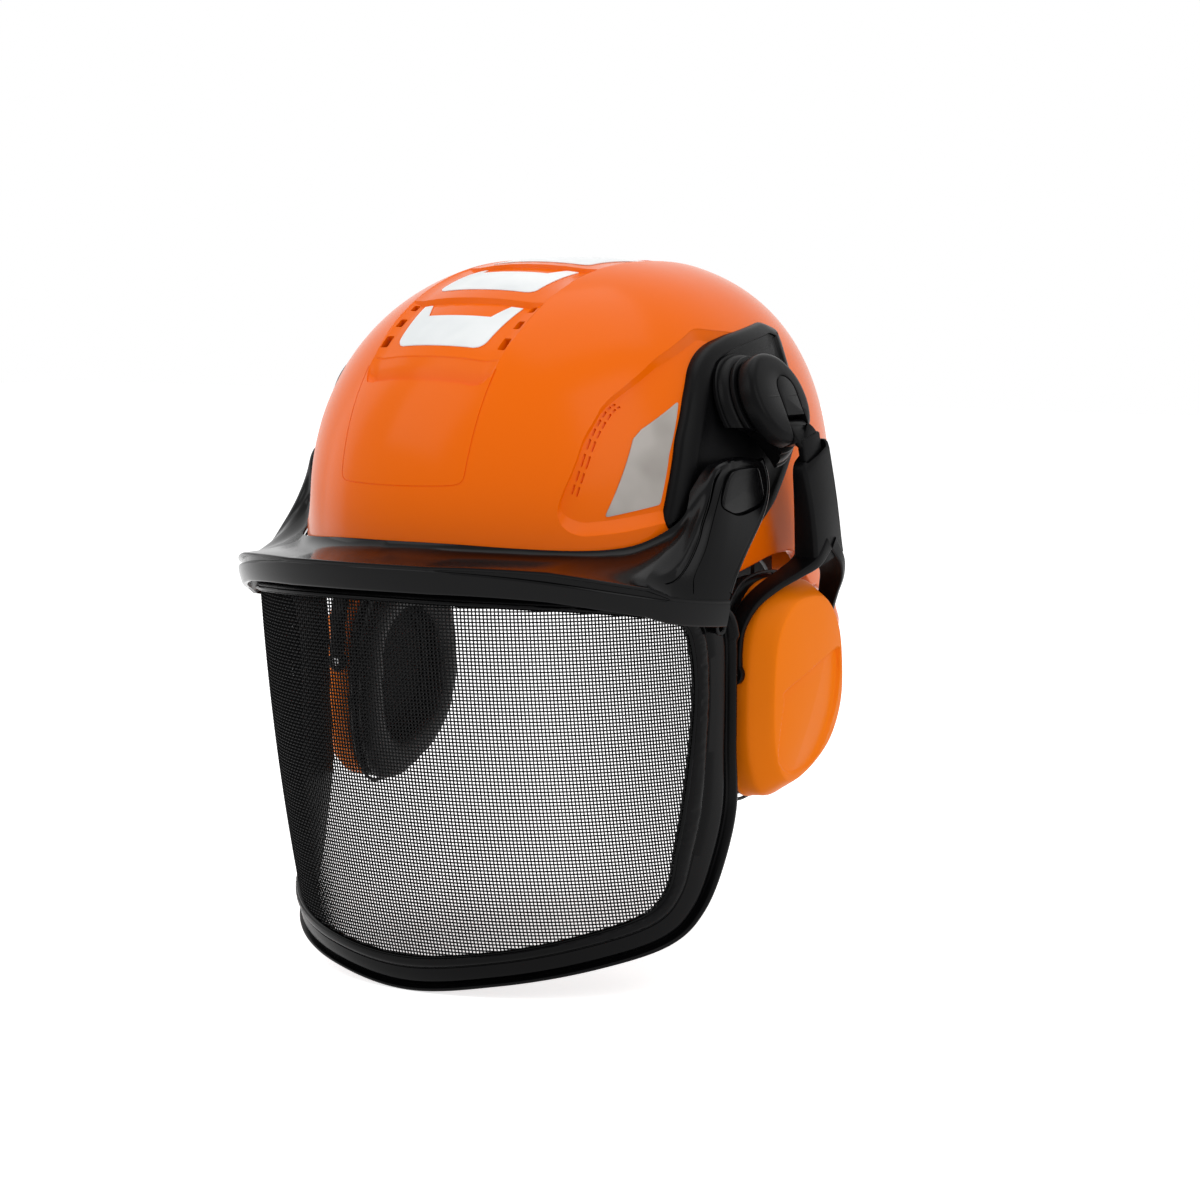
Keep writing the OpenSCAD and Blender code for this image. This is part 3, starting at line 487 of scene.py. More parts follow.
def dome(a, k, z, off):
    """Points of the shell's surface moved out by off: a is the way round, k the share of the plan."""
    a, k, z, off = spread(a, k, z, off)
    c, s = np.cos(a), np.sin(a)
    m, length = plan(s, off)
    r = (np.abs(c / (HALF_W + off)) ** m + np.abs(s / length) ** m) ** (-1 / m) * k + flare(z, s)
    return np.stack([r * c, r * s + shift(z, off), z], -1)


def rim(a):
    """Height of the shell's lower edge, from the angle to the front."""
    g = np.abs((np.degrees(a) + 270) % 360 - 180)
    behind = -22  # behind the ear
    return np.where(g < 60, RIM_FRONT + (RIM_BROW - RIM_FRONT) * ease((g - 30) / 30),
                    np.where(g < 100, RIM_BROW + (RIM_EAR - RIM_BROW) * ease((g - 68) / 30),
                             np.where(g < 118, RIM_EAR + (behind - RIM_EAR) * ease((g - 101) / 14),
                                      behind + (RIM_NAPE - behind) * ease((g - 112) / 48))))


def side(p, off):
    """The side of the dome above points of the Y-Z plane."""
    p = np.array(p, float)
    y, z, off = spread(p[..., 0], p[..., 1], off)
    k = np.clip(1 - (np.clip(z, 0, None) / (HEIGHT + off)) ** POWER, 0, None) ** (1 / POWER)
    yy = y - shift(z, off)
    m, length = plan(yy, off)
    x = (HALF_W + off) * np.clip(k**m - np.abs(yy / length) ** m, 0, None) ** (1 / m)
    return np.stack([x, y, z], -1)


def crown(x, y, off):
    """The top of the dome above points of the X-Y plane."""
    x, y, off = spread(x, y, off)
    z = np.full(x.shape, 90.0)
    for _ in range(12):
        yy = y - shift(z, off)
        m, length = plan(yy, off)
        k = (np.abs(x / (HALF_W + off)) ** m + np.abs(yy / length) ** m) ** (1 / m)
        z = (HEIGHT + off) * np.clip(1 - k**POWER, 0, None) ** (1 / POWER)
    return np.stack([x, y, z], -1)


def dome_value(P):
    """Below 1 inside the outer surface and above 1 outside it."""
    x, y, z = P[..., 0], P[..., 1], P[..., 2]
    yy = y - shift(z)
    r = np.hypot(x, yy) + 1e-9
    m, length = plan(yy)
    k = (r - flare(z, yy / r)) * (np.abs(x / r / HALF_W) ** m + np.abs(yy / r / length) ** m) ** (1 / m)
    return (k**POWER + (np.clip(z, 0, None) / HEIGHT) ** POWER) ** (1 / POWER)


def dome_normal(P):
    return unit(np.stack([dome_value(P + d) - dome_value(P - d) for d in np.eye(3) * 0.02], -1))


def dome_row(psi, off):
    return dome(AROUND, math.cos(psi) ** (2 / POWER), (HEIGHT + off) * math.sin(psi) ** (2 / POWER), off)


def make_shell():
    low = rim(AROUND)
    rows = [dome_row(p, 0) for p in np.radians(np.concatenate([[88.5, 87.5], np.linspace(86, 0, 60)]))]
    rows += [dome(AROUND, 1, low * t, 0) for t in (0.2, 0.4, 0.6, 0.8, 0.95)]
    rows += [dome(AROUND, 1, low + z, off) for z, off in (
        (0.8, 0), (0.25, -0.25), (0, -0.8), (0, -WALL + 0.8), (0.25, -WALL + 0.25), (0.8, -WALL))]
    rows += [dome(AROUND, 1, low * t, -WALL) for t in (0.8, 0.5, 0.2)]
    rows += [dome_row(p, -WALL) for p in np.radians(np.concatenate([np.linspace(0, 86, 40), [88.5]]))]
    return loft("shell_body", rows)


# the recess of a side: its edge on the dome, and its floor's edge inside that
RECESS_EDGE = [(-54, 10), (-74, 6.5), (-87, 5.5), (-92, 9), (-93, 15), (-91, 22), (-81.5, 42.5), (-71.5, 55),
               (-63, 60.5), (-44, 71.5), (-17, 82.5), (10, 80), (20, 50), (10, 20), (-40, 8)]
RECESS_FLOOR = [(-54, 14.5), (-74, 11.5), (-84, 10.5), (-88.5, 13), (-90.2, 16), (-88.5, 22), (-79.5, 41), (-70, 52.8),
                (-62, 57.8), (-44, 67.5), (-16, 78), (8, 74), (18, 50), (8, 22), (-40, 12)]


def recess_cutter():
    both = rounded(divided(np.concatenate([RECESS_EDGE, RECESS_FLOOR], 1), 6), 2)
    e, f = both[:, :2], both[:, 2:]
    c = f.mean(0)
    rows = [side(c + (f - c) * k, -RECESS) for k in (0.02, 0.25, 0.5, 0.75, 0.92, 1)]
    rows += [side(f + (e - f) * k, off) for k, off in ((0.93, -0.25), (1.08, 0.35), (1.6, 3))]
    rows += [side(c + (e - c) * k, 6) for k in (1.02, 0.75, 0.5, 0.25, 0.02)]
    return loft("cutter", rows)


# crest channel: half widths of floor and mouth, and its floor's depth along Y
FLOOR_W, MOUTH_W = 25.5, 31.5
STEPS = np.array([(-97, -1.0), (-95.2, 2.3), (-93.2, 2.8), (-92.2, 2.7), (-91.3, 1.7), (-88.4, 1.1), (-88.1, 1.55),
                  (-87.8, 1.1), (-85, 1.3), (-61, 2.6), (-60.4, 0.9), (-50, 1.2), (-24, 2.5), (-23.4, 0.9), (-10, 1.2),
                  (20, 2.0), (46, 2.4), (46.6, 0.9), (60, 1.3), (80, 2.0), (92, 1.6), (99, -1.0)])


def channel_depth(y):
    return np.interp(y, STEPS[:, 0], STEPS[:, 1])


def lip_bow(x, y):
    """The lips bow forwards in the middle."""
    return y - 5 * (1 - (x / MOUTH_W) ** 2) * (1 - ease((y - 10) / 50))


def channel_cutter():
    low, high = [], []
    for y in np.unique(np.concatenate([STEPS[:, 0], np.arange(-96, 99, 3.0)])):
        d = float(channel_depth(y))
        t = min(1.0, max(0.0, (y + 96.8) / 6))
        taper = 1 - 0.2 * (1 - math.sqrt(1 - (1 - t) ** 2)) - 0.05 * ease((-y - 70) / 20)
        half = [(MOUTH_W + 1.2, 0.9), (MOUTH_W, -0.05), (MOUTH_W - 0.9, -0.3 * d), (FLOOR_W + 0.8, -d * 0.93),
                (FLOOR_W - 0.2, -d), (17, -d), (8.5, -d)]
        x, off = np.array([(-x, o) for x, o in half] + [(0, -d)] + half[::-1]).T
        x = x * taper
        low.append(crown(x, lip_bow(x, y), off if d > 0 else np.where(off > 0, off, -d)))
        high.append(crown(x, lip_bow(x, y), 7.0))
    return plate("cutter", low, high)


def badge_line():
    """Edge of the front panel: up both sides to the ridges, with round lower corners."""
    half = rounded([(30.4, 68), (30.2, 50), (29.4, 32), (29, 26), (25, 24.6), (10, 24.2), (0, 24.1)], closed=False)
    x, z = np.concatenate([half, half[::-1][1:] * (-1, 1)]).T
    # the dome's place along Y, found by halving
    lo, hi = np.full(len(x), -121.0), np.full(len(x), -60.0)
    for _ in range(40):
        mid = (lo + hi) / 2
        out = dome_value(np.stack([x, mid, z], 1)) > 1
        lo, hi = np.where(out, mid, lo), np.where(out, hi, mid)
    return np.stack([x, hi, z], 1)


VENTS = ((-64.5, 2.6, 4), (-73.5, 3, 5.2), (-82.5, 3.4, 6.6))  # place along Y, width, length
DASHES, DASH_STEP, DASH_L = 9, 0.55, 0.4  # how many in a row, and their step and length along the line
DASH_LINE = [(-88.0, 21.5), (-84.5, 30.5), (-79.3, 41.5), (-74.5, 48.4), (-69.6, 53.6), (-66, 55.6)]
DASH_ROWS = np.array([0.82, -0.57]) * np.array([[1.5], [3.1]])


def shell_cutters():
    vents, dashes = [], []
    for y, w, h in VENTS:
        p = crown(28.2, y, -1.2)
        along = crown(28.0, y + 2, -1.2) - crown(28.0, y - 2, -1.2)
        vents.append(slot_cutter(p, along, dome_normal(p) + (-0.55, 0, 0.1), h, w, 12, 0.6))
    for i in range(DASHES):
        for row in DASH_ROWS:
            a, b = spline(DASH_LINE, [i * DASH_STEP + 0.1, i * DASH_STEP + 0.1 + DASH_L]) + row
            mid, along = (a + b) / 2, side(b, -RECESS) - side(a, -RECESS)
            dashes.append(slot_cutter(side(mid, -RECESS), along, dome_normal(side(mid, 0)),
                                      float(np.linalg.norm(along)), 0.85, 1.7, 0.3))
    P = badge_line()
    badge = sweep("cutter", P, [(0.4, 0.6), (0.15, -0.3), (-0.15, -0.3), (-0.4, 0.6)], dome_normal(P))
    return [*both_hands(*vents), *both_hands(recess_cutter()), channel_cutter(), *both_hands(*dashes), badge]


SHARP_ANGLE, ON_DOME, SAME_WAY = math.radians(17), 0.0006, 0.94


def set_dome_normals(o):
    """Gives the outer dome its exact normals, so that cuts leave no shading marks."""
    me = o.data
    me.set_sharp_from_angle(angle=SHARP_ANGLE)
    corner = read(me.corner_normals, "vector", 3, np.float32)
    vert = read(me.loops, "vertex_index", 1, np.int32)
    P = read(me.vertices, "co", 3) / MM
    g = dome_normal(P)
    on = np.abs(dome_value(P) - 1) < ON_DOME
    face = np.repeat(read(me.polygons, "normal", 3), read(me.polygons, "loop_total", 1, np.int32), axis=0)
    use = on[vert] & (np.sum(face * g[vert], 1) > SAME_WAY)
    corner[use] = g[vert][use]
    me.normals_split_custom_set(corner.tolist())


shell = make_shell()
cut(shell, *shell_cutters())
finish_piece(shell, ORANGE, "helmet", "shell")
shell.name = "helmet_shell"
set_dome_normals(shell)


# ---------------------------------------------------------------- stickers
TAB, FILM_R = 7.5, 3.5


def crest_sticker(y0, y1, w0, w1, notch=True):
    """A film label on a channel floor, with round corners in front and a notch at the back for a bare tab."""
    start = y1 - TAB
    ys = np.concatenate([np.linspace(y0, y0 + FILM_R, 9), np.linspace(y0 + FILM_R, y1, 32)[1:], [start]])
    ys = np.sort(ys)
    spans = [(ys, -1, 1, 33)]
    if notch:
        high = ys[ys >= start - 0.01]
        inner = 0.66 + 0.14 * (high - start) / TAB
        spans = [(ys[ys <= start + 0.01], -1, 1, 33), (high, -1, -inner, 7), (high, inner, 1, 7)]
    out = []
    for y, a, b, n in spans:
        w = w0 + (w1 - w0) * (y - y0) / (y1 - y0)
        w = w - FILM_R + np.sqrt(FILM_R**2 - np.clip(FILM_R - (y - y0), 0, None) ** 2)
        x = np.linspace(w * a, w * b, n, axis=1)
        y = np.repeat(y[:, None], n, 1)
        d = channel_depth(y)
        out.append(plate("film", crown(x, lip_bow(x, y), -d + 0.28), crown(x, lip_bow(x, y), -d + 0.02)))
    return join("film", *out)


finish_piece(join("crest_films", crest_sticker(-84, -62, 20.4, 23.6), crest_sticker(-54, -25, 22.8, 24),
                  crest_sticker(-18, 45, 23.8, 23.8), crest_sticker(52, 80, 22.5, 19, False)),
             REFLECT, "helmet", "crest_decals")

DECAL = [(-40, 55), (-50, 35.5), (-56.3, 16.5), (-77, 12.5), (-63, 41.5), (-59, 45)]


def side_film():
    edge = rounded(divided(DECAL), 2)
    c = edge.mean(0)
    return loft("side_film", [side(c + (edge - c) * k, -RECESS + off) for off, shares in (
        (0.03, (0.03, 0.5, 1)), (0.32, (1, 0.8, 0.6, 0.4, 0.2, 0.03))) for k in shares])


pair("side_film", side_film, SIDE_FILM, "helmet", replaced="side_decal")

# ---------------------------------------------------------------- side adaptor plates
ADAPTER = [(-57, 8), (-53, 22), (-46.5, 41), (-38, 56), (-30, 67), (-23, 72.5), (-15, 76), (-1, 79.5), (17, 82), (32, 84),
           (43, 81), (37, 70), (33, 52), (26, 38), (16, 27), (4, 14), (-9, 4.5), (-32, -1)]
ADAPTER_MID = np.array([-6.0, 50.0])


def adapter():
    e = spaced(rounded(divided(ADAPTER, 5)), 150)
    # the border is wide in front and narrow above
    wide = np.interp(e[:, 0], [-60, -34, -20, 45], [8.5, 7.5, 5.2, 4.6])
    wide = np.where(e[:, 1] < 30, np.minimum(wide, 7), wide)
    base, inner = inset(e, 0.3), inset(e, wide + 0.7)
    rings = [side(ADAPTER_MID + (base - ADAPTER_MID) * k, -RECESS) for k in (0.02, 0.5, 1)]
    rings += [side(inset(e, by), off) for by, off in (
        (0, 0.4), (0.35, 1.1), (1.0, 1.6), (wide - 1.2, 1.95), (wide - 0.5, 1.75), (wide, 1.1), (wide + 0.7, 0.75))]
    rings += [side(ADAPTER_MID + (inner - ADAPTER_MID) * k, 0.7) for k in (0.8, 0.6, 0.4, 0.2, 0.02)]
    return loft("adapter", rings)


pair("adapter_plate", adapter, BLACK, "helmet", 30, replaced="side_adapter")

# ---------------------------------------------------------------- hubs
TILT = math.radians(24)
HUB = np.array([104.4, -3.6, 56.5])
HUB_OUT = np.array([math.cos(TILT), 0, math.sin(TILT)])
HUB_UP = np.array([-math.sin(TILT), 0, math.cos(TILT)])
HUB_SIDE = np.array([0, 1.0, 0])
AXIS_Y, AXIS_Z, PIVOT_ROOM = -25, 21, 23.8  # the visor's pivots, and the radius they need
FORK_X, PIN_V, PIN_W = 4, -12.5, -4  # the arm's hinge in its hub: middle across, up and out


def hub_point(u, v, w):
    """u across (towards the back), v up the face, w out along the axis."""
    u, v, w = spread(u, v, w)
    return HUB + u[..., None] * HUB_SIDE + v[..., None] * HUB_UP + w[..., None] * HUB_OUT


def turned(name, profile, n=112):
    """Solid of revolution about the hub's axis from (radius, height) pairs."""
    t = turn(n)
    return loft(name, [hub_point(r * np.cos(t), r * np.sin(t), h) for r, h in profile])


def fillet(r, h, f):
    """Round corner of a profile: from the side at r to the face at h."""
    return [(r - f + f * math.cos(a), h - f + f * math.sin(a)) for a in np.linspace(0, math.pi / 2, 5)]


def clear_of_pivot(o):
    """Leaves room for the visor's pivot cover as the visor swings up."""
    return cut(o, rod((70, AXIS_Y, AXIS_Z), (130, AXIS_Y, AXIS_Z), PIVOT_ROOM, 96))


def hub_base():
    return clear_of_pivot(turned("base", [
        (0.2, -16), (24, -16), (24, -14.8), (23.7, -14.4), (22.9, -14.3), (22.8, -13.2), (22.4, -12.2), (21.6, -11.2),
        (20.8, -10.7), (19.6, -10.6), (0.2, -10.6)]))


def hub_ring():
    return clear_of_pivot(turned("ring", [
        (0.2, -10.5), (19.9, -10.5), (20.3, -10.4), (20.5, -10.1), (20.5, -9.1), (20.2, -8.7), (19.4, -8.55), (0.2, -8.5)]))


def hub_cap():
    o = turned("cap", [(0.2, -8), (18.2, -8), (18.7, -7.9), (18.95, -7.5), (19, -7), *fillet(19, -0.35, 3.2),
                       (12, -0.12), (0.2, 0)], 144)
    notch = [(FORK_X - 7, -25), (FORK_X + 7, -25), (FORK_X + 7, -8), (FORK_X - 7, -8)]
    slot = loft("cutter", [[hub_point(u, v, w) for u, v in notch] for w in (-9, 3)])
    # U-shaped groove that frames the arm's seat
    half, foot = 6.4, -8.6
    bend = [(half * math.cos(t), 2.0 + half * math.sin(t)) for t in np.linspace(math.pi, 0, 25)]
    u, v = np.array([(-half, foot), (-half, 0), *bend, (half, 0), (half, foot)]).T
    groove = sweep("cutter", hub_point(FORK_X + u, v, 0), [(0.35, 0.8), (0.3, -0.55), (-0.3, -0.55), (-0.35, 0.8)], HUB_OUT)
    return bevel(cut(o, slot, groove), 0.35, 2, 45)


pair("hub_base", hub_base, BLACK, "helmet", 30)
pair("hub_ring", hub_ring, BLACK, "helmet", 30)
pair("hub_cap", hub_cap, BLACK, "hub_{}", 30)

# ---------------------------------------------------------------- arms that hang from the hubs
LEAN = math.radians(15)
ARM_TOP = np.array([112, 2.2, 41.0])
ARM_DOWN = np.array([0, math.sin(LEAN), -math.cos(LEAN)])
ARM_BACK = np.array([0, math.cos(LEAN), math.sin(LEAN)])
DROP = {"left": 0.0, "right": 9.0}


def arm_point(x, y, t):
    """x out from the arm's middle plane, y towards the back, t down along the arm."""
    x, y, t = spread(x, y, t)
    return ARM_TOP + x[..., None] * np.array([1.0, 0, 0]) + y[..., None] * ARM_BACK + t[..., None] * ARM_DOWN


def arm():
    # hinge block, its bar, and the bend that joins them
    outline = [(PIN_V + 3.6 * math.sin(t), PIN_W + 3.5 * math.cos(t)) for t in np.linspace(math.pi, 0, 17)]
    outline += [(-16.5, -0.8), (-18.7, -0.2), (-19.3, -0.9), (-19, -6), (-18.3, -7), (-14, -7.4)]
    block = loft("block", [[hub_point(u, v, w) for v, w in outline] for u in (FORK_X - 6.5, FORK_X + 6.5)])
    hole = sweep("cutter", [hub_point(u, PIN_V, PIN_W) for u in (FORK_X - 12, FORK_X + 12)], circle_section(1.57, 32), HUB_OUT)
    block = cut(bevel(block, 0.6, 3, 50), hole)
    bar = loft("bar", [[arm_point(v * s, u * k, t) for u, v in box_section(13, 3, 0.6)]
                       for t, s, k in ((0, 0.8, 0.9), (0.6, 1, 1), (20, 1, 1), (38.4, 1, 1), (39, 0.8, 0.95))])
    path = spline([hub_point(FORK_X, -12, -2.1), hub_point(FORK_X, -16, -1.2), (111.4, 2.0, 40), arm_point(0, 0, 4),
                   arm_point(0, 0, 8)], 24)
    out = spline([HUB_OUT, HUB_OUT, (1, 0, 0.2), (1, 0, 0), (1, 0, 0)], 24)
    return join("arm", block, bar, sweep("bend", path, box_section(12.6, 2.8, 0.7), out))


def dropped(o, s):
    """Draws the piece out along its arm, as far as that side's cup is drawn out."""
    o.data.transform(Matrix.Translation((ARM_DOWN * DROP[s] * MM).tolist()))


pair("arm", arm, BLACK, "arm_{}", 35)

# ---------------------------------------------------------------- yokes
PIVOT_X, PIVOT_Z, FRONT_LEG, REAR_LEG, LEG_T, LEG_ROWS = 98.5, -50, -29.4, 35.4, 1.3, 46
FRONT_PATH = [(110, 14, -3), (109.6, 6, -9), (107.6, -4, -12.8), (104.6, -14.4, -17.2), (101.2, -23, -23.6),
              (99, -28.2, -32.4), (98.5, -29.4, -41), (98.5, -29.4, -47)]
REAR_PATH = [(110, 15, -3), (109.6, 23, -9), (107.6, 28.6, -15), (104, 32.4, -22), (101, 34.6, -30),
             (99, 35.4, -38), (98.5, 35.4, -45), (98.5, 35.4, -47)]
FRONT_WIDE = [6, 6, 5.4, 4.6, 3.8, 3.4, 3.2, 3.2]
REAR_WIDE = [6, 5.8, 5, 4.2, 3.6, 3.4, 3.2, 3.2]
# stem of the yoke: place down the arm, half width, outer face, corner
STEM = [(6, 7.2, 1.6, 0.5), (6.3, 8.4, 2.6, 0.8), (7, 9.5, 3.3, 1.1), (8.2, 10.2, 3.8, 1.3), (10, 10.5, 4, 1.4),
        (14, 10.5, 4, 1.4), (22, 10.5, 4, 1.4), (30, 10.5, 4, 1.4), (38, 10.5, 4, 1.4), (44, 10.6, 4, 1.4),
        (48, 10.8, 4, 1.3), (51, 11.2, 4, 1.2)]


def leg(path, wide):
    """A flat leg, thick where it leaves the stem."""
    P = spline(path, LEG_ROWS)
    w = spline([(v, 0) for v in wide], LEG_ROWS)[:, 0]
    root = 3.4 * np.clip(1 - np.linspace(0, 1, LEG_ROWS) / 0.42, 0, None) ** 2
    rows = []
    for half, thick in zip(w, 2 * LEG_T + root):
        sec = np.array(box_section(thick, 2 * half, 0.7, 3))
        sec[:, 0] += thick / 2 - LEG_T
        rows.append(sec)
    return P, np.array(rows)


def pivot_hole(y0, y1, r):
    """A cutter round the axis on which the cup tips."""
    return rod((PIVOT_X, y0, PIVOT_Z), (PIVOT_X, y1, PIVOT_Z), r, 32)


def boss(y):
    """Ring round the cup's pivot at the end of a leg."""
    prof = [(2.06, -1.3), (3.7, -1.3), (4.2, -0.9), (4.2, 0.9), (3.7, 1.3), (2.06, 1.3)]
    return torus("boss", [[(PIVOT_X + r * math.cos(a), y + h, PIVOT_Z + r * math.sin(a)) for r, h in prof] for a in turn(40)])


def yoke():
    rows = []
    for t, half, out, r in STEM:
        xin = float(np.interp(t, [6, 22, 38, 51], [-3, -4.5, -6.5, -8]))
        tip = 0.3 * (1 - ease((t - 6) / 14))
        bulge = 0.9 * math.sin(math.pi * min(1, (t - 6) / 45))
        rows.append([arm_point((out + xin) / 2 + v + (bulge - 0.012 * u * u if v > 0 else 0), u * (1 - 0.04 * bulge),
                               t - tip * u)
                     for u, v in box_section(2 * half, out - xin, min(r, (out - xin) / 2.4), 4)])
    stem = loft("stem", rows)
    # the arm's socket, its wide mouth, and the arch between the legs
    slot = loft("cutter", [[arm_point(v, u, t) for u, v in box_section(13.14, 3.12, 0.3, 2)] for t in (0, 49)])
    mouth = loft("cutter", [[arm_point(0.5 + v, u, t) for u, v in box_section(w, h, 0.6, 2)]
                            for t, w, h in ((0, 15.4, 5.4), (8, 15.2, 5.0), (10, 13.4, 3.2))])
    cut(stem, slot, mouth, rod((80, 14.6, -19.5), (130, 14.6, -19.5), 9.5, 64))
    legs = []
    for path, wide, sign, y in ((FRONT_PATH, FRONT_WIDE, 1, FRONT_LEG), (REAR_PATH, REAR_WIDE, -1, REAR_LEG)):
        P, sec = leg(path, wide)
        o = sweep("leg", P, sec * (sign, 1), (1, 0, 0))
        legs.append(cut(o, pivot_hole(y - 6, y + 6, 3.4)))
    return join("yoke", stem, *legs, boss(FRONT_LEG), boss(REAR_LEG))


pair("yoke", yoke, BLACK, "yoke_{}", 32, dropped)

# ---------------------------------------------------------------- ear cups
CUP = [(5, -15), (20, -18), (30.5, -31), (34, -50), (32.5, -68), (23, -84), (6, -95), (-11, -100), (-21, -96),
       (-27.5, -80), (-28, -55), (-24.5, -33), (-12.5, -18.5)]
CUP_LINE = spaced(closed_spline(CUP, 16), 240)
HALF_LINE = CUP_LINE[::2]
CUP_MID = np.array([3.0, -57.0])
PLATE_X = 91.5  # inner face of the cup's base plate
FRONT_FLAT, REAR_FLAT = FRONT_LEG + LEG_T + 0.3, REAR_LEG - LEG_T - 0.3
# edge of the lower panel of the face, and the fold that runs down it
PANEL = [(-14, -56), (22, -44), (26.5, -49), (25.5, -58), (20, -72), (8, -86), (-9, -90), (-17.5, -87), (-20, -80), (-17, -62)]
FOLD = np.array([(16.0, -46), (-8, -88)])
# the cup's wall as share of its outline and place along X
WALL_ROWS = [(0.02, 111.6), (0.3, 111.8), (0.6, 111.3), (0.72, 110.6), (0.8, 108.6), (0.88, 102.6), (0.945, 96),
             (0.95, 94.6), (0.965, 94.05), (0.99, 94), (1.0, 94.4), (1.0, 95.6), (0.994, 96.1), (0.99, 96.6),
             (0.987, 99), (0.982, 102.2), (0.977, 103.3), (0.964, 104.4), (0.93, 106.5), (0.895, 108.9),
             (0.862, 111.1), (0.847, 112.0), (0.833, 112.6)]


def cup_ring(k, x, clip=True, line=HALF_LINE):
    """The cup's outline shrunk to the share k, at x, with flats beside the yoke's legs."""
    q = CUP_MID + (line - CUP_MID) * k
    y = np.clip(q[:, 0], FRONT_FLAT, REAR_FLAT) if clip else q[:, 0]
    return np.stack([np.full(len(q), float(x)), y, q[:, 1]], 1)


def inside(P, V):
    """Signed distance to a closed outline, above 0 inside."""
    d = np.full(len(P), 1e9)
    odd = np.zeros(len(P), bool)
    for a, b in zip(V, np.roll(V, -1, 0)):
        t = np.clip(((P - a) @ (b - a)) / ((b - a) @ (b - a)), 0, 1)
        d = np.minimum(d, np.linalg.norm(P - (a + t[:, None] * (b - a)), axis=1))
        if a[1] != b[1]:
            odd ^= ((a[1] > P[:, 1]) != (b[1] > P[:, 1])) & (P[:, 0] < (b[0] - a[0]) * (P[:, 1] - a[1]) / (b[1] - a[1]) + a[0])
    return np.where(odd, d, -d)


def cup_face(P):
    """Sinks the lower panel into the face and folds its rear part back."""
    yz = P[:, 1:]
    d = inside(yz, closed_spline(PANEL, 6))
    share = ease((-44 - yz[:, 1] - 0.3 * (20 - yz[:, 0])) / 30)
    sink = 1.7 * ease((d + 0.2) / 1.1) * (1 - 0.5 * share)
    a, b = FOLD
    rear = (yz - a) @ unit([(a - b)[1], (b - a)[0]])
    P[:, 0] -= sink + 0.07 * np.clip(rear, 0, None) * ease((d + 0.2) / 3)
    return P


def cup_shell():
    rings = [cup_ring(k, x, line=CUP_LINE) for k, x in WALL_ROWS]
    for k in np.linspace(0.815, 0.015, 46):
        rings.append(cup_face(cup_ring(k, 112.8 + 2.1 * (1 - (k / 0.82) ** 2), line=CUP_LINE)))
    return cut(loft("cup", rings), pivot_hole(FRONT_FLAT - 1, FRONT_FLAT + 4.5, 2.08),
               pivot_hole(REAR_FLAT - 4.5, REAR_FLAT + 1, 2.08))


def ring_of(name, prof, clip=True):
    """A ring round the cup's outline with the section prof: share of the outline and place along X."""
    return torus(name, np.array([cup_ring(k, x, clip) for k, x in prof]).transpose(1, 0, 2))


def cup_plate():
    return ring_of("cup_plate", [(0.6, 94), (0.6, 91.9), (0.62, PLATE_X), (0.97, PLATE_X), (0.987, 91.9), (0.987, 93.6),
                                 (0.97, 94)])


def cup_foam():
    """Open foam pad with a soft quilted face, sunk between its edges."""
    rings = [cup_ring(k, x) for k, x in (
        (0.02, 99.2), (0.4, 99.2), (0.78, 99.2), (0.8, 98.6), (0.8, 95.6), (0.785, 94.7), (0.75, 94.3))]
    for k in np.linspace(0.7, 0.015, 24):
        r = cup_ring(k, 94.25)
        r[:, 0] += 0.55 * (1 - (k / 0.72) ** 2) + 0.25 * np.sin(r[:, 1] * 0.55) * np.sin(r[:, 2] * 0.55) * (k < 0.66)
        rings.append(r)
    return loft("cup_foam", rings)


VOXEL, PRESSURE, FARTHEST, FRAMES = 4.0, 4.0, 2.2, 20


def swell(o):
    """Cloth simulation that fills a soft piece; no point may move further than the limit."""
    m = o.modifiers.new("remesh", "REMESH")
    m.mode, m.voxel_size = "VOXEL", VOXEL * MM
    bake(o)
    before = read(o.data.vertices, "co", 3)
    c = o.modifiers.new("cloth", "CLOTH")
    s = c.settings
    s.quality, s.mass, s.air_damping = 5, 0.3, 2.0
    s.tension_stiffness = s.compression_stiffness = 12
    s.shear_stiffness, s.bending_stiffness = 6, 0.4
    s.use_pressure, s.uniform_pressure_force = True, PRESSURE
    s.effector_weights.gravity = 0
    c.collision_settings.use_collision = False
    c.point_cache.frame_start, c.point_cache.frame_end = 1, FRAMES
    scene.frame_start, scene.frame_end = 1, FRAMES
    for f in range(1, FRAMES + 1):
        scene.frame_set(f)
        bpy.context.view_layer.update()
    bake(o)
    scene.frame_set(1)
    move = read(o.data.vertices, "co", 3) - before
    far = np.linalg.norm(move, axis=1)
    move *= np.minimum(1, FARTHEST * MM / np.maximum(far, 1e-9))[:, None]
    o.data.vertices.foreach_set("co", (before + move).ravel())
    sub = o.modifiers.new("smooth", "SUBSURF")
    sub.levels = 1
    return bake(o)


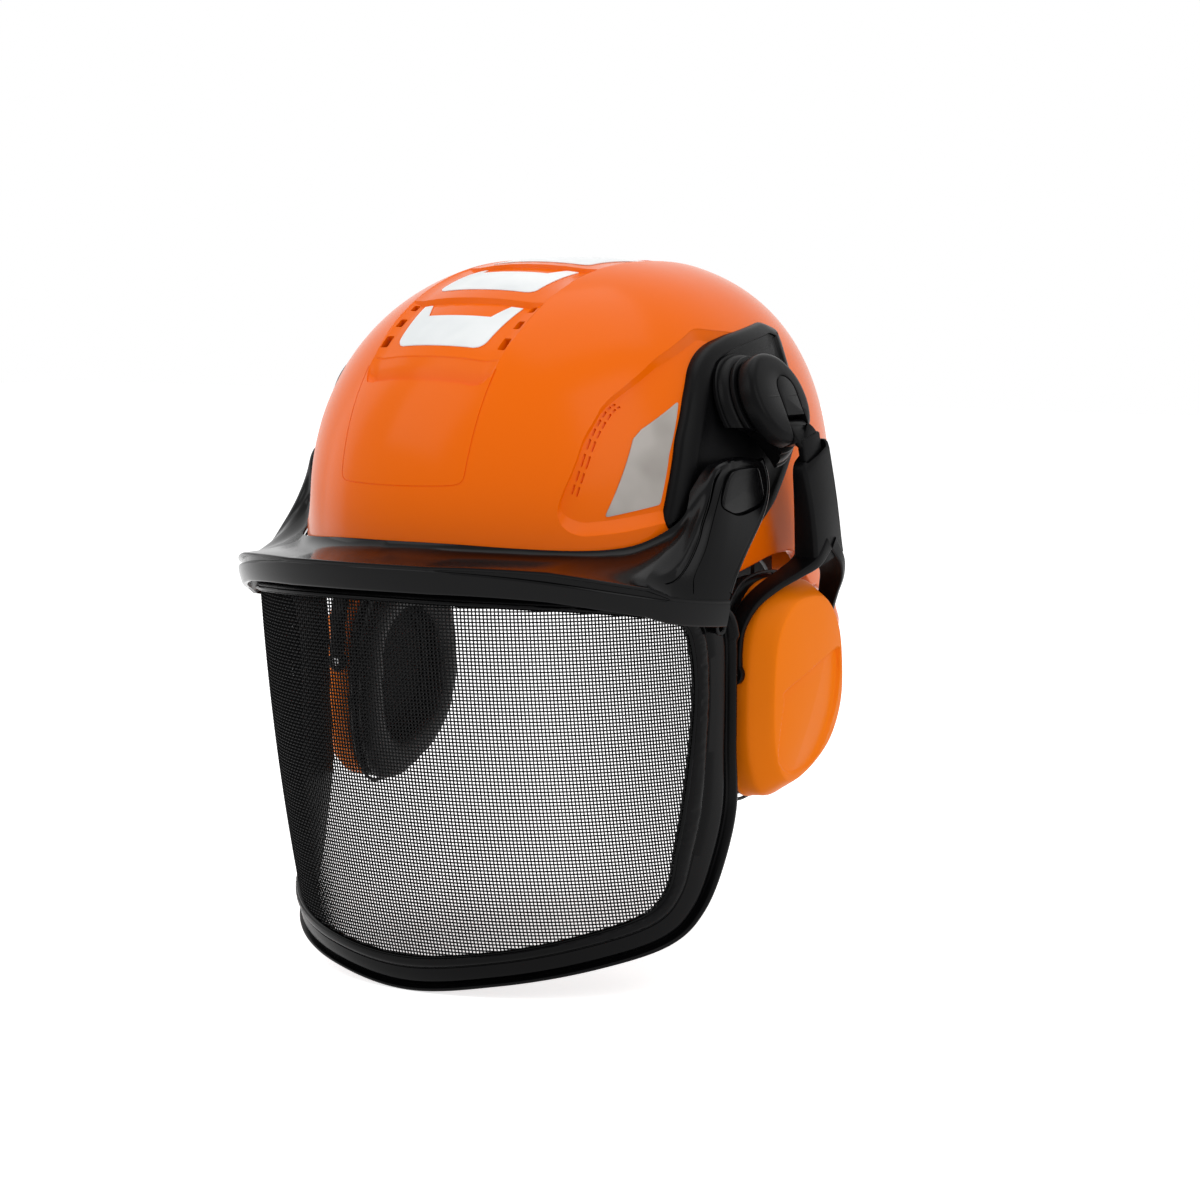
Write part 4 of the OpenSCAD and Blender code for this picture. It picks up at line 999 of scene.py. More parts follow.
def cushion(s):
    """Sewn ring pad: a tube that bulges from its base plate, with a seam round its foot."""
    prof = []
    for a in np.linspace(0, 2 * math.pi, 20, endpoint=False):
        c, d = math.cos(a), math.sin(a)
        r = (abs(c) ** 3.2 + abs(d) ** 3.2) ** (-1 / 3.2)
        prof.append((0.83 + 0.205 * r * c, PLATE_X - 5.1 + 4.6 * r * d))
    o = ring_of("cushion", prof, False)
    sign = 1
    if s == "right":
        sign, left = -1, o
        o = mirrored(left, "cushion")
        bpy.data.objects.remove(left)
    dropped(o, s)
    swell(o)
    # flat where it rests on its plate, and no wider than its room
    P = read(o.data.vertices, "co", 3) / MM
    P[:, 0] = sign * np.clip(np.abs(P[:, 0]), PLATE_X - 10.6, PLATE_X - 0.02)
    o.data.vertices.foreach_set("co", (P * MM).ravel())
    o.data.update()
    # welt sewn round the foot, next to the plate
    line = cup_ring(1.035, PLATE_X - 0.9, False) * (sign, 1, 1) + ARM_DOWN * DROP[s]
    o = join("cushion_" + s, o, sweep("welt", line, circle_section(0.7), closed=True))
    finish_piece(o, LEATHER, "cup_" + s, "cushion_" + s, 60)


pair("cup_shell", cup_shell, CUP_ORANGE, "cup_{}", 24, dropped)
pair("cup_plate", cup_plate, CRADLE, "cup_{}", 35, dropped)
for o in pair("cup_foam", cup_foam, FOAM, "cup_{}", 60, dropped):
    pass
for s in SIDES:
    cushion(s)

# ---------------------------------------------------------------- visor carrier: peak, skirt and side arms
SKIRT, UP = 10.5, np.array([0, 0, 1.0])
ALONG, ACROSS, FROM_FOOT = 181, 64, 90  # points of the carrier's grid, and of a row before it is spaced
OVERHANG, RIDGE_W, RIDGE_H = 2.4, 2.0, 0.8


def seat(f, z):
    """Where the peak meets the shell, f degrees round from the middle."""
    return dome(math.radians(270 + f), (1 - (max(z, 0) / (HEIGHT + 1.9)) ** POWER) ** (1 / POWER), z, 1.9)


# stations of one half, from the middle round to the arm's back edge: start, pull from it, pull to the edge, edge angle
STATIONS = np.array([(*a, *b, *c, angle) for a, b, c, angle in (
    (seat(0, 3.5), (0, -2, -4), (0, 14, 0.8), 0), (seat(12, 3.2), (0.4, -2, -4), (-3, 13.5, 0.8), 12),
    (seat(24, 1.8), (0.8, -1.8, -4), (-5, 12, 0.8), 25), (seat(35, 0.6), (1.2, -1.6, -4), (-7, 10, 1), 37),
    (seat(44, 0.8), (2, -1.4, -4.5), (-8, 8, 1.5), 47), (seat(51, 3.2), (2.6, -1, -5.5), (-8, 6, 3), 55),
    ((88.8, -56, 9.5), (2.5, -1, -7), (-7, 5, 5), 61), ((92.4, -51, 17), (2.5, -1, -9), (-6, 6, 7), 66),
    ((96.2, -46.5, 24.5), (2, -1, -12), (-4, 8, 10), 70), ((98.6, -41.5, 30.5), (1.5, 0, -16), (-2.5, 10, 14), 73.5),
    ((100, -34, 33), (0.6, 0, -18), (-2, 12, 17), 77), ((100, -24, 33.5), (0.6, 0.5, -20), (-2, 13, 20), 80.5),
    ((100, -12, 32), (0.6, 14, -20), (-2, 14.8, 24.5), 84))])
LAST = len(STATIONS) - 1


def step_share(u):
    """How much of the step between the peak's top and its skirt there is at a station."""
    return np.interp(u, [1.4, 3.4, 6.2, 7.4], [0, 1, 0.9, 0])


def carrier_at(u, t):
    """The carrier's outer face: u is the station, t the way from its start to the peak's edge."""
    u, t = np.ravel(np.asarray(u, float)), np.ravel(np.asarray(t, float))[:, None]
    q = spline(STATIONS, u)
    s = np.radians(q[:, 9])
    d = np.stack([110 * np.sin(s), -40 - 103.5 * np.cos(s), -2.8 - 16 * np.abs(np.sin(s)) ** 3 + 2.5 * step_share(u)], 1)
    a = q[:, :3]
    return a * (1 - t) ** 3 + 3 * (a + q[:, 3:6]) * (1 - t) ** 2 * t + 3 * (d + q[:, 6:9]) * (1 - t) * t**2 + d * t**3


def on_carrier(line, n):
    return carrier_at(*spline(line, n).T)


def inner_x(p, w):
    """Where a face that runs inwards from p may end, clear of the side plate as the visor swings up."""
    r, a = math.hypot(p[1] - AXIS_Y, p[2] - AXIS_Z), math.atan2(p[2] - AXIS_Z, p[1] - AXIS_Y)
    s = a - np.radians(np.arange(0, 74, 3))
    x = side(np.stack([AXIS_Y + r * np.cos(s), AXIS_Z + r * np.sin(s)], 1), 2.0)[:, 0]
    return min(p[0], max(p[0] - w, x.max() + 0.5))


RIDGE = [(9.6, 0), (8.9, 0.02), (8.45, 0.07), (8.1, 0.22), (7.85, 0.33), (7.72, 0.45), (7.55, 0.6), (7.2, 0.72), (6.7, 0.78)]
SEAM_A = [(9.1, 0.03), (8.55, 0.08), (8.32, 0.22), (8.15, 0.37), (8.2, 0.5), (8.05, 0.65), (7.7, 0.78), (7.3, 0.84),
          (6.9, 0.875)]
SEAM_B = [(9.35, 0.1), (9.0, 0.3), (8.9, 0.47), (8.88, 0.62), (8.62, 0.8), (8.75, 0.9), (8.95, 0.99)]
# edge section: out, down, and both for each unit of the step
LIP = np.array([(0.35, 0.12, 0, 0), (0.5, 0.5, 0, 0), (0.5, 0.9, 0, 0), (0.35, 1.25, 0, 0), (0.3, 1.4, -1.5, 0.1),
                (0.3, 1.5, -1.5, 2.1), (0.3, 1.6, 0, 2.4), (0.5, 1.9, 0, 2.5), (0.5, 2.4, 0, 2.5), (0.2, 4.5, 0, 2.4),
                (-0.35, 7.2, 0, 1.6), (-0.95, 9.7, 0, 1), (-1.2, SKIRT - 0.25, 0, 0.8), (-1.5, SKIRT, 0, 0.8)])


def carrier_grid():
    """Outer and inner faces of one half, each with its side of the lip."""
    U = np.linspace(0, LAST, ALONG)
    rows = []
    for u in U:
        main = carrier_at(np.full(FROM_FOOT, u), np.linspace(0, 1, FROM_FOOT))
        inwards = inner_x(main[0], 5.6 * ease((u - 6.5) / 1.5)) - main[0, 0]
        k = np.linspace(1, 0, 12)[:-1, None]
        rows.append(spaced(np.concatenate([main[0] + k * (inwards, 0, 0), main]), ACROSS, False))
    G = np.array(rows)
    for _ in range(3):
        G[:, 1:-1] = (G[:, :-2] + 2 * G[:, 1:-1] + G[:, 2:]) / 4
    N = np.cross(np.gradient(G, axis=0), np.gradient(G, axis=1))
    N /= np.linalg.norm(N, axis=2)[..., None] + 1e-9
    N *= np.where(N[90, 40, 2] > 0, 1, -1)  # outwards: up, on the peak
    # the raised ridge
    fade = np.concatenate([np.ones(110), np.linspace(1, 0.1, 50)])
    d = np.linalg.norm(G[:, :, None] - on_carrier(RIDGE, 160), axis=3)
    lift = np.max(np.exp(-(d / RIDGE_W) ** 2) * fade, axis=2)
    lift[:, -1] = 0
    G = G + N * RIDGE_H * lift[..., None]
    # the inner face, never further out than the wall of the lip
    thick = OVERHANG * np.clip(np.linspace(0, 5, ACROSS) + np.clip((U - 6) / 1.5, 0, 1)[:, None] + 0.3, 0.3, 1)
    I = G - N * thick[..., None]
    e = G[:, -1][:, None]
    o = unit((e + (0, 40, 0)) * (1, 1, 0))
    I -= np.clip(np.sum((I - e) * o, 2) + OVERHANG, 0, None)[..., None] * o
    # the lip
    n = np.arange(len(LIP))
    g = step_share(U)[:, None]
    out, down = LIP[:, 0] + g * LIP[:, 2], LIP[:, 1] + g * LIP[:, 3]
    depth = np.maximum(down, 2.9 + 0.12 * n)
    depth[:, -1] = down[:, -1] - 0.02
    lip = e + out[..., None] * o - down[..., None] * UP
    inner_lip = e + np.interp(n, [0, n[-3], n[-1]], [-2.5, -3.0, -3.0])[:, None] * o - depth[..., None] * UP
    return np.concatenate([G, lip], 1), np.concatenate([I, inner_lip], 1)


COVER = [(-37.6, 29.3), (-19, 29.9), (-16.5, 28.1), (-12, 15.5), (-33, 11.5), (-41.8, 14.7), (-43.2, 16.7)]
POCKET_GAP = 0.55


def cover_outline(grow):
    return inset(rounded(COVER, 3, 0.2), -grow)


def seam_cutter(line, width, depth, n=90):
    """A groove that fades out at both ends."""
    e = 0.01
    q = spline(line, n)
    du = carrier_at(q[:, 0] + e, q[:, 1]) - carrier_at(q[:, 0] - e, q[:, 1])
    dt = carrier_at(q[:, 0], q[:, 1] + e) - carrier_at(q[:, 0], q[:, 1] - e)
    N = unit(np.cross(dt, du))
    N *= np.sign(np.sum(N * (1, -0.6, 0.3), 1))[:, None]
    fade = np.minimum(1, np.minimum(np.arange(n), np.arange(n)[::-1]) / 8)[:, None]
    sec = np.tile([(width / 2, 0.9), (0.12, 0), (-0.12, 0), (-width / 2, 0.9)], (n, 1, 1))
    sec[:, 1:3, 1] = 0.3 - (depth + 0.3) * fade
    return sweep("cutter", on_carrier(line, n), sec, N)


def visor_carrier():
    faces = [np.concatenate([(g * (-1, 1, 1))[::-1][:-1], g]) for g in carrier_grid()]
    pocket = loft("cutter", [[(x, y, z) for y, z in cover_outline(POCKET_GAP)] for x in (100.0, 112)])
    o = cut(plate("carrier", *faces), *both_hands(seam_cutter(SEAM_A, 1.5, 0.75)), *both_hands(seam_cutter(SEAM_B, 0.9, 0.4)),
            *both_hands(pocket), rod((-112, AXIS_Y, AXIS_Z), (112, AXIS_Y, AXIS_Z), 3.05, 40))
    P = carrier_at(np.full(40, LAST), np.linspace(0.0, 0.97, 40)) + (-0.9, 0, 0)
    bead = sweep("bead", P, circle_section(1.25, 12))
    return join("visor_carrier", o, bead, mirrored(bead, "bead"))


finish_piece(visor_carrier(), GLOSS, "visor", "visor_carrier", 32)


def pivot_cover():
    rows = [[(x, y, z) for y, z in cover_outline(-k)]
            for x, k in ((100.05, 0.15), (101.2, 0), (101.55, 0.12), (101.75, 0.4), (101.8, 0.8))]
    last = np.array(rows[-1])
    c = last.mean(0)
    return loft("cover", rows + [c + (last - c) * k + (0.25 * (1 - k), 0, 0) for k in (0.7, 0.4, 0.05)])


pair("pivot_cover", pivot_cover, GLOSS, "visor", 40)

# ---------------------------------------------------------------- mesh visor
# the sheet's half width and half length, its middle, its power, and the arc for one radian
SHEET_W, SHEET_L, SHEET_Y, SHEET_P, SHEET_ARC = 100, 111, -27.5, 2.13, 105
LEAN_TOP, LEAN_FOOT = math.tan(math.radians(5.4)), math.tan(math.radians(16.5))


def sheet_at(s, z, off):
    """Point of the visor's sheet: s round from the middle, z the height, off outwards."""
    s, z, off = spread(s, z, off)
    t = s / SHEET_ARC
    r = (np.abs(np.sin(t) / (SHEET_W + off)) ** SHEET_P + np.abs(np.cos(t) / (SHEET_L + off)) ** SHEET_P) ** (-1 / SHEET_P)
    h = -20 - z
    lean = LEAN_TOP * h + (LEAN_FOOT - LEAN_TOP) / 280 * h * h
    return np.stack([r * np.sin(t), SHEET_Y - r * np.cos(t) + lean, z], -1)


OUTER = [(0, -11), (45, -12), (90, -15), (130, -19), (150, -22.5), (157, -33), (155, -55), (151.5, -78), (148, -101),
         (136, -123.5), (122, -141), (105, -152), (75, -159.5), (38, -166.5), (0, -171.5)]
INNER = [(0, -17.5), (42, -18.5), (82, -21), (114, -25), (127, -28.5), (131, -38), (131, -55), (126.5, -76), (119.5, -99),
         (113.5, -115), (108, -129), (97, -138.5), (70, -146), (36, -153), (0, -157)]


def whole_line(half):
    h = np.array(half, float)
    return closed_spline(np.concatenate([h[::-1], h[1:-1] * (-1, 1)]), 22)


OUT_LINE, IN_LINE = whole_line(OUTER), whole_line(INNER)
FRAME_SECTION = [(0, -1.3), (0, 0.9), (0.02, 1.35), (0.045, 1.5), (0.06, 1.3), (0.075, 1.55), (0.1, 2), (0.16, 2.15),
                 (0.22, 2.15), (0.28, 2), (0.305, 1.6), (0.32, 1.2), (0.335, 1.2), (0.35, 1.5), (0.5, 1.6), (0.68, 1.5),
                 (0.72, 1.35), (0.74, 1), (0.755, 0), (0.79, -0.5), (0.845, -0.5), (0.87, 0.2), (0.885, 2), (0.9, 2.5),
                 (0.925, 2.75), (0.955, 2.75), (0.98, 2.5), (0.995, 1.9), (1, 1.2), (1, -1.2), (0.97, -1.6), (0.6, -1.6),
                 (0.1, -1.6)]
BEAD, RIM_BEAD = range(6, 11), range(22, 29)  # points of the section on the inner bead and on the outer one


def mesh_frame():
    nubs = np.random.default_rng(7).random((len(IN_LINE), 6))
    loops = []
    for i, (a, b) in enumerate(zip(IN_LINE, OUT_LINE)):
        row = []
        for j, (s, off) in enumerate(FRAME_SECTION):
            p = a * (1 - s) + b * s
            if j in RIM_BEAD:  # thicker beside the pegs
                off += 1.5 * (ease((p[1] + 37) / 3) * ease((-19.5 - p[1]) / 3) * (abs(p[0]) > 120))
            if j in BEAD:  # rough where the mesh is moulded in
                off += 0.32 * (nubs[i, j - 6] - 0.5) * (abs(p[0]) > 60)
            row.append((p[0], p[1], off - 4.2 * s * ease((p[1] + 19) / 8)))
        loops.append(row)
    L = np.array(loops)
    return torus("mesh_frame", sheet_at(L[..., 0], L[..., 1], L[..., 2]))


PEG_WAY = np.array([math.cos(math.radians(8)), -math.sin(math.radians(8)), 0])
PEG_SIDE = np.array([-PEG_WAY[1], PEG_WAY[0], 0])
PEG_FOOT = np.array([97, -47, -30.0])


def peg_point(u, v, h):
    return PEG_FOOT + PEG_WAY * h + PEG_SIDE * u + UP * v


def peg():
    """A snap peg: a slotted ring with a core."""
    prof = [(1.3, 2), (2.35, 2), (2.38, 5.9), (2.9, 6.1), (3.0, 6.5), (3.0, 7.0), (2.7, 7.4), (1.7, 7.4), (1.3, 7.0)]
    o = torus("peg", [[peg_point(r * math.cos(a), r * math.sin(a), h) for r, h in prof] for a in turn(40)])
    cut(o, loft("cutter", [[peg_point(u, v, h) for u, v in ((-0.5, 0), (0.5, 0), (1.2, 4), (-1.2, 4))] for h in (3, 9)]))
    core = loft("core", [[peg_point(r * math.cos(a), r * math.sin(a), h) for a in turn(24)]
                         for r, h in ((1.35, 1.6), (1.35, 4.6), (0.9, 5.0))])
    return join("peg", o, core)


PITCH, WIRE_R, WAVE = 1.35, 0.37, 0.26
ACROSS_ROWS, UPRIGHT_ROWS = np.arange(-8, -122, -1), np.arange(-97, 98)


def wires(across):
    """One family of the woven wires, three-sided; each waves over and under the other family."""
    axis = 1 if across else 0
    a = inset(IN_LINE, -1.2)
    b = np.roll(a, -1, 0)
    verts, faces, at = [], [], 0
    for v in (ACROSS_ROWS if across else UPRIGHT_ROWS) * PITCH:
        hit = (a[:, axis] < v) != (b[:, axis] < v)
        w = a[hit, 1 - axis] + (v - a[hit, axis]) / (b[hit, axis] - a[hit, axis]) * (b[hit, 1 - axis] - a[hit, 1 - axis])
        if len(w) < 2:
            continue
        q = np.arange(math.ceil(w.min() / PITCH), math.floor(w.max() / PITCH) + 1)
        if len(q) < 2:
            continue
        over = np.where((q + int(round(v / PITCH))) % 2 == 0, 1, -1) * (1 if across else -1)
        x = np.concatenate([[w.min()], q * PITCH, [w.max()]])
        h = np.concatenate([[0], over * WAVE / 2, [0]])
        s, z = (x, np.full(len(x), v)) if across else (np.full(len(x), v), x)
        P = sheet_at(s, z, h)
        out = unit(sheet_at(s, z, h + 0.5) - P)
        S = np.cross(unit(np.gradient(P, axis=0)), out)
        n = len(x)
        for m in range(3):
            g = 2 * math.pi * m / 3 + 0.5
            verts.append(P + WIRE_R * (math.cos(g) * out + math.sin(g) * S))
            p0, p1 = at + m * n, at + (m + 1) % 3 * n
            faces += [(p0 + t, p0 + t + 1, p1 + t + 1, p1 + t) for t in range(n - 1)]
        faces += [(at, at + n, at + 2 * n), (at + n - 1, at + 3 * n - 1, at + 2 * n - 1)]
        at += 3 * n
    me = bpy.data.meshes.new("wires")
    me.from_pydata((np.concatenate(verts) * MM).tolist(), [], faces)
    return placed("mesh_weft" if across else "mesh_warp", me)


finish_piece(mesh_frame(), FRAME_BLACK, "visor", "mesh_frame", 40)
left_peg = peg()
finish_piece(join("mesh_pegs", left_peg, mirrored(left_peg, "peg")), GLOSS, "visor", "mesh_pegs", 35)
for across in (False, True):
    finish_piece(wires(across), WIRE, "visor", "visor_mesh", 80)


# ---------------------------------------------------------------- pins
def lathe(foot, way, prof, n=48):
    """Turned piece: (radius, distance along way) pairs."""
    w = unit(way)
    a = unit(np.cross(w, (0, 0, 1) if abs(w[2]) < 0.9 else (1, 0, 0)))
    b = np.cross(w, a)
    t = turn(n)[:, None]
    return loft("turned", [np.array(foot) + w * h + r * (np.cos(t) * a + np.sin(t) * b) for r, h in prof])


def visor_pin():
    prof = [(0.2, 0), (2.6, 0), (3, 0.4), (3, 6.2), (2.7, 6.45), (1.5, 6.45), (1.2, 5.9), (0.2, 5.9)]
    return lathe((93.2, AXIS_Y, AXIS_Z), (1, 0, 0), prof)


def arm_pin():
    end = [(0.2, 0.3), (0.7, 0.3), (0.9, 0), (1.2, 0), (1.5, 0.3)]
    return lathe(hub_point(FORK_X - 9.5, PIN_V, PIN_W), HUB_SIDE, end + [(r, 19 - h) for r, h in end[::-1]], 32)


def cup_pins():
    prof = [(0.2, 0.2), (0.8, 0.2), (1.5, 0), (2, 0.4), (2, 5.2), (1.6, 5.6), (0.2, 5.6)]
    return join("pins", *[lathe((PIVOT_X, y, PIVOT_Z), (0, way, 0), prof, 32)
                          for y, way in ((FRONT_LEG - 1.6, 1), (REAR_LEG + 1.6, -1))])


pair("visor_pin", visor_pin, STEEL, "helmet", 40)
pair("arm_pin", arm_pin, STEEL, "hub_{}", 40)
pair("cup_pins", cup_pins, STEEL, "yoke_{}", 40, dropped)

# ---------------------------------------------------------------- cradle
# headband: half width, half length, middle along Y, foot, height
BAND_W, BAND_L, BAND_Y, BAND_Z, BAND_H = 75, 92, 2, -12, 26
BAND_MID = BAND_Z + BAND_H / 2
NAPE_DROP = 22


def oval(out, a):
    """Plan of the headband, moved outwards, at the angle a."""
    return np.stack([(BAND_W + out) * np.cos(a), BAND_Y + (BAND_L + out) * np.sin(a)], -1)


def slots(degrees, out, z, length, width, corner):
    """Upright slots through a band; z gives their height at an angle."""
    return [slot_cutter([*oval(out, t), z(t)], (0, 0, 1), (math.cos(t), math.sin(t), 0), length, width, 6, corner)
            for t in np.radians(degrees)]


def headband():
    sec = box_section(2, BAND_H, 0.7)
    o = torus("headband", [[(*oval(-1 + u, t), BAND_MID + v) for u, v in sec] for t in turn(180)])
    return cut(o, *slots([*range(18, 76, 12), *range(105, 163, 12)], -1, lambda t: BAND_MID, 13, 5, 1.6))


def nape_drop(t):
    """How far the strap has dropped towards the nape, from 0 to 1."""
    return ease((math.sin(t) - 0.15) / 0.7)


def nape_strap():
    rows = []
    for a in np.radians(np.linspace(-6, 186, 97)):
        z, h = -9 - NAPE_DROP * nape_drop(a), 14 + 8 * nape_drop(a)
        rows.append([(*oval(1.2 + u, a), z + h / 2 + v) for u, v in box_section(1.6, h, 0.6)])
    return cut(loft("nape_strap", rows), *slots((48, 60, 120, 132), 1.2, lambda t: 1 - NAPE_DROP * nape_drop(t), 9, 4, 1.4))


def brow_pad():
    """Quilted foam strip inside the front of the band."""
    rows = []
    for i, a in enumerate(np.radians(np.linspace(-136, -44, 93))):
        end = min(1, (min(i, 92 - i) + 1.2) / 6) ** 0.5
        puff = 0.25 + 0.75 * abs(math.sin(i * math.pi / 11.5)) ** 0.4
        rows.append([(*oval(-4.1 + (u if u > 0 else u * puff * end), a), BAND_MID + v)
                     for u, v in box_section(3.2, (BAND_H - 4) * (0.82 + 0.18 * end), 1.3, 5)])
    return loft("brow_pad", rows)


def strap(half, along_y):
    """Flat webbing over the crown, which widens a little into its clips."""
    rows = []
    for t in np.linspace(0, math.pi, 73):
        c, s = math.cos(math.pi - t), math.sin(t)
        h = (half + 3.8) * abs(c) ** 0.8 * np.sign(c)
        z = 8 + 62 * s**0.8 + (3 if along_y else 0) + 0.8 * s + 0.2
        n = unit([c * 0.75, 0.66 * s + 0.05])
        sec = box_section(1.5, 18 * (1 + 0.06 * abs(c) ** 6), 0.5, 2)
        rows.append([(v, BAND_Y + h + u * n[0], z + u * n[1]) if along_y else (h + u * n[0], BAND_Y - v, z + u * n[1])
                     for u, v in sec])
    return loft("strap", rows)


def crown_pad():
    t = turn(96)
    return loft("crown_pad", [np.stack([r * np.cos(t), BAND_Y + r * np.sin(t), np.full(96, z)], 1) for r, z in (
        (0.5, 64), (21, 64), (23.4, 64.4), (25, 65.6), (25.6, 67), (24.6, 68.2), (20, 68.8), (12, 69.1), (0.5, 69.1))])


def clips():
    """Four clips: two across, two along, made side by side."""
    out = []
    for s in (-1, 1):
        for w, across in ((BAND_W + 7.5, True), (BAND_L + 8, False)):
            rows = []
            for z, g in ((-2, 0.5), (-1.4, 0), (1, 0), (2, 0.4), (3, 0), (9.4, 0), (10, 0.6)):
                sec = box_section(5.2 - 2 * g, 22 - 2 * g, 0.9, 3)
                rows.append([(s * w + u, BAND_Y + v, z) if across else (v, BAND_Y + s * w + u, z) for u, v in sec])
            out.append(loft("clip", rows))
    return join("cradle_clips", *out)


# ratchet: its place at the nape, and pieces made from there
RY, RZ = BAND_Y + BAND_L + 2.2, -20


def slab(w, h, thick, r, soft):
    """A rounded plate across the nape, with soft edges."""
    steps = ((0, soft), (soft * 0.4, soft * 0.25), (soft, 0))
    steps += tuple((thick - y, g) for y, g in steps[::-1])
    return loft("slab", [[(u, RY + y, RZ + v) for u, v in box_section(w - 2 * g, h - 2 * g, r - g * 0.5, 6)] for y, g in steps])


def ratchet_housing():
    channel = loft("cutter", [[(u, y, RZ + v) for u, v in box_section(80, 10.1, 0.2, 1)] for y in (RY + 2, RY + 7.1)])
    return cut(slab(64, 24, 9, 5, 0.8), channel, lathe((0, RY - 1, RZ), (0, 1, 0), [(2.55, 0), (2.55, 20)]),
               lathe((0, RY + 2, RZ), (0, 1, 0), [(8.05, 0), (8.05, 10)]))


def ratchet_cover():
    prof = [(8.1, 9), (16, 9), (16, 10), (15.6, 10.4), (14.8, 10.6), (8.6, 10.6), (8.1, 10.2)]
    return torus("ratchet_cover", [[(r * math.cos(a), RY + h, RZ + r * math.sin(a)) for r, h in prof] for a in turn(96)])


def ratchet_knob():
    """Pinion, shaft and grip in one: radius, distance, and how deep the grip's flutes are there."""
    t = turn(192)
    flute = 0.11 * np.clip(np.cos(12 * t), 0, 1) ** 3
    rows = []
    for r, h, g in ((0.2, 0.3, 0), (2.3, 0.3, 0), (2.5, 0.5, 0), (2.5, 2.1, 0), (3.2, 2.1, 0), (3.4, 2.3, 0), (3.4, 6.7, 0),
                    (2.5, 6.9, 0), (7.7, 7.1, 0), (8, 7.4, 0), (8, 10.8, 0), (14.2, 10.9, 0), (15, 11.6, 0.2), (15, 12.4, 1),
                    (15, 15.6, 1), (14.6, 16.6, 1), (13.6, 17.4, 0.9), (12, 17.8, 0.4), (10, 17.8, 0), (9.2, 17.2, 0),
                    (8.6, 16.8, 0), (0.2, 16.6, 0)):
        k = r * (1 - flute * g)
        rows.append(np.stack([k * np.cos(t), np.full(192, RY + h), RZ + k * np.sin(t)], 1))
    return loft("ratchet_knob", rows)


RACK_L, RACK_H, TOOTH = 52, 1.3, 1.5


def rack(s):
    """Bar with fine teeth on the side of the pinion; s is 1 for the left one."""
    x0, z0 = s * 14 - RACK_L / 2, RZ + (-4.9 if s > 0 else 3.6)
    teeth = [(x0 + i * TOOTH + x, h) for i in range(35) for x, h in ((0.1, RACK_H), (0.5, 0.85), (1.0, 0.85), (1.4, RACK_H))]
    line = [(x0, 0), (x0, RACK_H), *[p for p in teeth if p[0] < x0 + RACK_L - 0.4], (x0 + RACK_L, RACK_H), (x0 + RACK_L, 0)]
    return loft("rack", [[(x, y, z0 + (h if s > 0 else RACK_H - h)) for x, h in line] for y in (RY + 2.1, RY + 6.9)])


def cradle_piece(o, name, mat, body, replaced, angle):
    o.name = name
    finish_piece(o, mat, body, replaced, angle)


finish_piece(headband(), CRADLE, "helmet", "headband", 35)
finish_piece(nape_strap(), CRADLE, "helmet", "nape_strap", 35)
cradle_piece(brow_pad(), "brow_pad_foam", FOAM, "helmet", "brow_pad", 60)
cradle_piece(strap(BAND_L, True), "strap_long", WEBBING, "helmet", "crown_strap_long", 50)
cradle_piece(strap(BAND_W, False), "strap_cross", WEBBING, "helmet", "crown_strap_cross", 50)
cradle_piece(crown_pad(), "crown_pad_foam", FOAM, "helmet", "crown_pad", 60)
finish_piece(clips(), CRADLE, "helmet", "cradle_clips", 35)
for make, body in ((ratchet_housing, "helmet"), (ratchet_cover, "helmet"), (ratchet_knob, "knob")):
    name = make.__name__
    cradle_piece(make(), name + "_body", CRADLE, body, name, 35)
for s, name in ((1, "left"), (-1, "right")):
    cradle_piece(rack(s), "rack_bar_" + name, CRADLE, "rack_" + name[0], "rack_" + name, 35)

# ---------------------------------------------------------------- camera, lights and floor
AZIMUTH, ELEVATION, DISTANCE = math.radians(34.2), math.radians(6.0), 1.41  # of the camera, as in the photo
TARGET = Vector((0.0125, 0.0048, -0.0293))
FLOOR_HALF, FLOOR_THICK, FLOOR_GLOW = 4000, 5, 0.74
WHITE, WORLD_LIGHT = (1, 1, 1, 1), 0.5

camera = placed("camera", bpy.data.cameras.new("camera"))
scene.camera = camera
right = Vector((math.cos(AZIMUTH), math.sin(AZIMUTH), 0))
back = Vector((math.sin(AZIMUTH) * math.cos(ELEVATION), -math.cos(AZIMUTH) * math.cos(ELEVATION), math.sin(ELEVATION)))
camera.location = TARGET + back * DISTANCE
camera.matrix_world = Matrix.Translation(camera.location) @ Matrix((right, back.cross(right), back)).transposed().to_4x4()
camera.data.sensor_width, camera.data.lens = 36, 103.9
camera.data.clip_start, camera.data.clip_end = 0.05, 20

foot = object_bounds()[0].z / MM
floor = plate("floor", *[[[(x, y, z) for x in (-FLOOR_HALF, FLOOR_HALF)] for y in (-FLOOR_HALF, FLOOR_HALF)]
                         for z in (foot, foot - FLOOR_THICK)])
FLOOR = material("floor", (0.9, 0.9, 0.9, 1), 0.9, 0.1)
floor.data.materials.append(FLOOR)


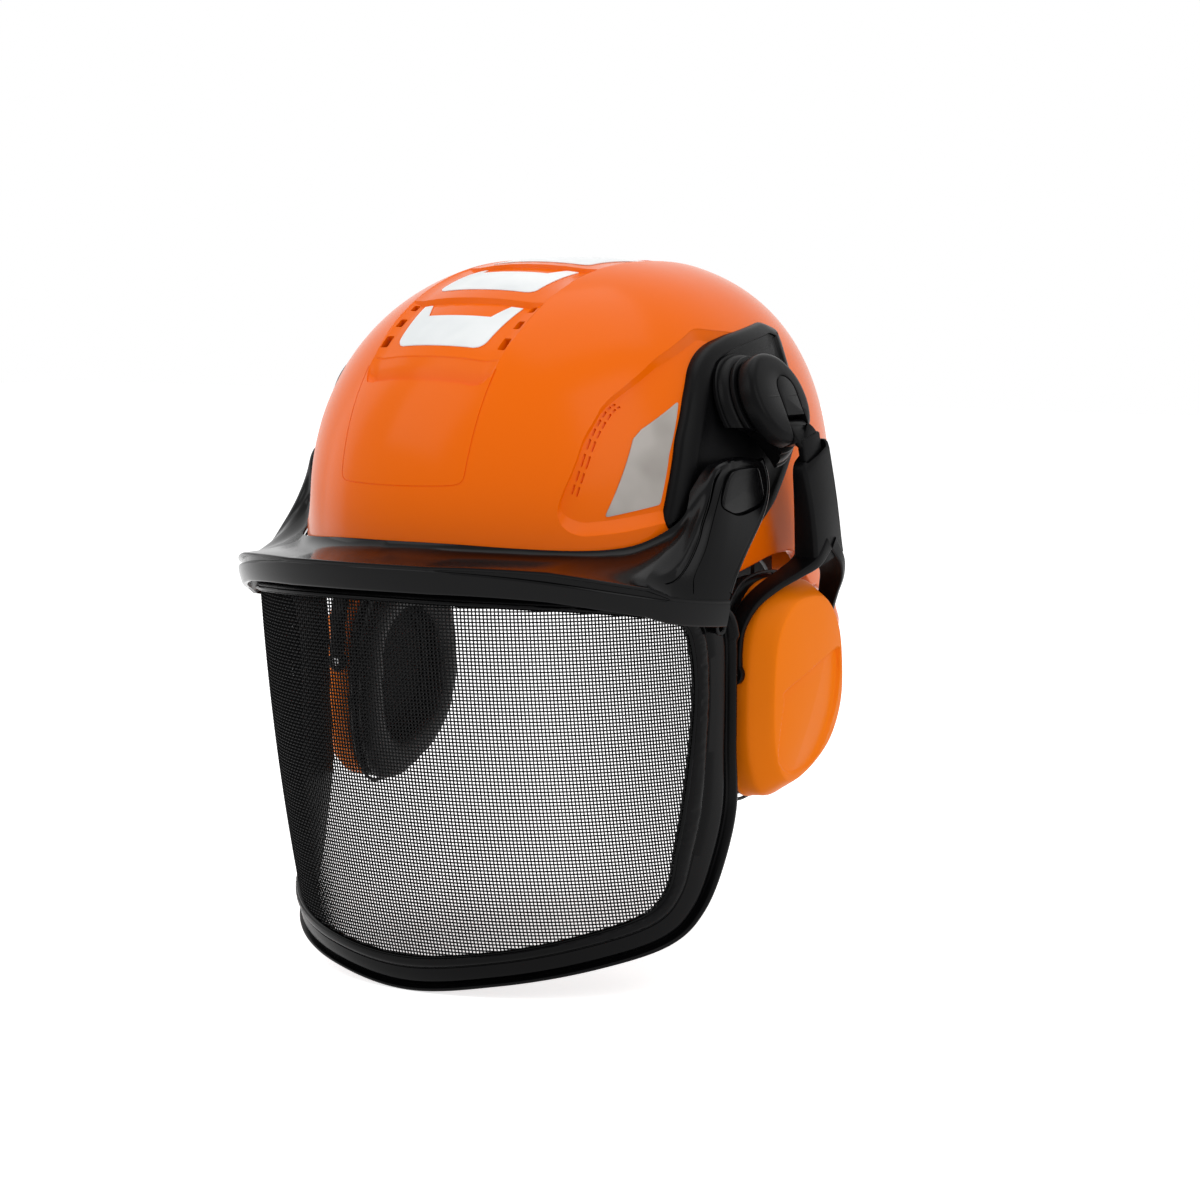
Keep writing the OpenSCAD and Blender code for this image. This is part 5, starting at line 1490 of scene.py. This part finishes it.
def seen(m):
    """1 for rays of the camera, of reflections and of clear materials."""
    path = node(m, "ShaderNodeLightPath")
    value = path.outputs["Is Camera Ray"]
    for other in ("Is Glossy Ray", "Is Transmission Ray"):
        either = node(m, "ShaderNodeMath", operation="MAXIMUM")
        link(m, value, either.inputs[0])
        link(m, path.outputs[other], either.inputs[1])
        value = either.outputs[0]
    return value


def into(m, kind, a, b, out):
    """Puts two shaders together at the material's or world's output; gives the node that does so."""
    n = node(m, "ShaderNode" + kind)
    for shader_out, socket in zip((a, b), n.inputs[-2:]):
        link(m, shader_out, socket)
    link(m, n.outputs[0], m.node_tree.nodes[out].inputs["Surface"])
    return n


# the floor glows white where it is seen, and keeps the shadow
glow = node(FLOOR, "ShaderNodeEmission", Color=WHITE)
level = node(FLOOR, "ShaderNodeMath", operation="MULTIPLY")
level.inputs[1].default_value = FLOOR_GLOW
link(FLOOR, seen(FLOOR), level.inputs[0])
link(FLOOR, level.outputs[0], glow.inputs["Strength"])
into(FLOOR, "AddShader", shader(FLOOR).outputs[0], glow.outputs[0], "Material Output")

# the world is white where it is seen, and dimmer as a light
world = bpy.data.worlds.new("studio")
scene.world = world
world.use_nodes = True
dim = world.node_tree.nodes["Background"]
dim.inputs["Color"].default_value, dim.inputs["Strength"].default_value = WHITE, WORLD_LIGHT
white = node(world, "ShaderNodeBackground", Color=WHITE, Strength=1.0)
link(world, seen(world), into(world, "MixShader", dim.outputs[0], white.outputs[0], "World Output").inputs[0])

# area lamps: place, aim, size, watts
for name, place, aim, size, power in (
        ("key", (-1.1, -1.9, 1.9), (0, -0.02, 0), (1.8, 1.8), 17), ("side", (2.0, -0.3, 1.2), (0, 0, 0), (1.2, 1.8), 12),
        ("left", (-1.9, -0.2, 0.6), (0, 0, 0), (0.8, 1.8), 4), ("top", (0.1, 0.3, 2.0), (0, 0, 0), (1.6, 1.6), 10)):
    lamp = placed(name, bpy.data.lights.new(name, "AREA"))
    lamp.data.shape, lamp.data.energy = "RECTANGLE", power
    lamp.data.size, lamp.data.size_y = size
    lamp.location = place
    lamp.rotation_mode = "QUATERNION"
    lamp.rotation_quaternion = (Vector(place) - Vector(aim)).to_track_quat("Z", "Y")

scene.view_settings.view_transform = "Standard"
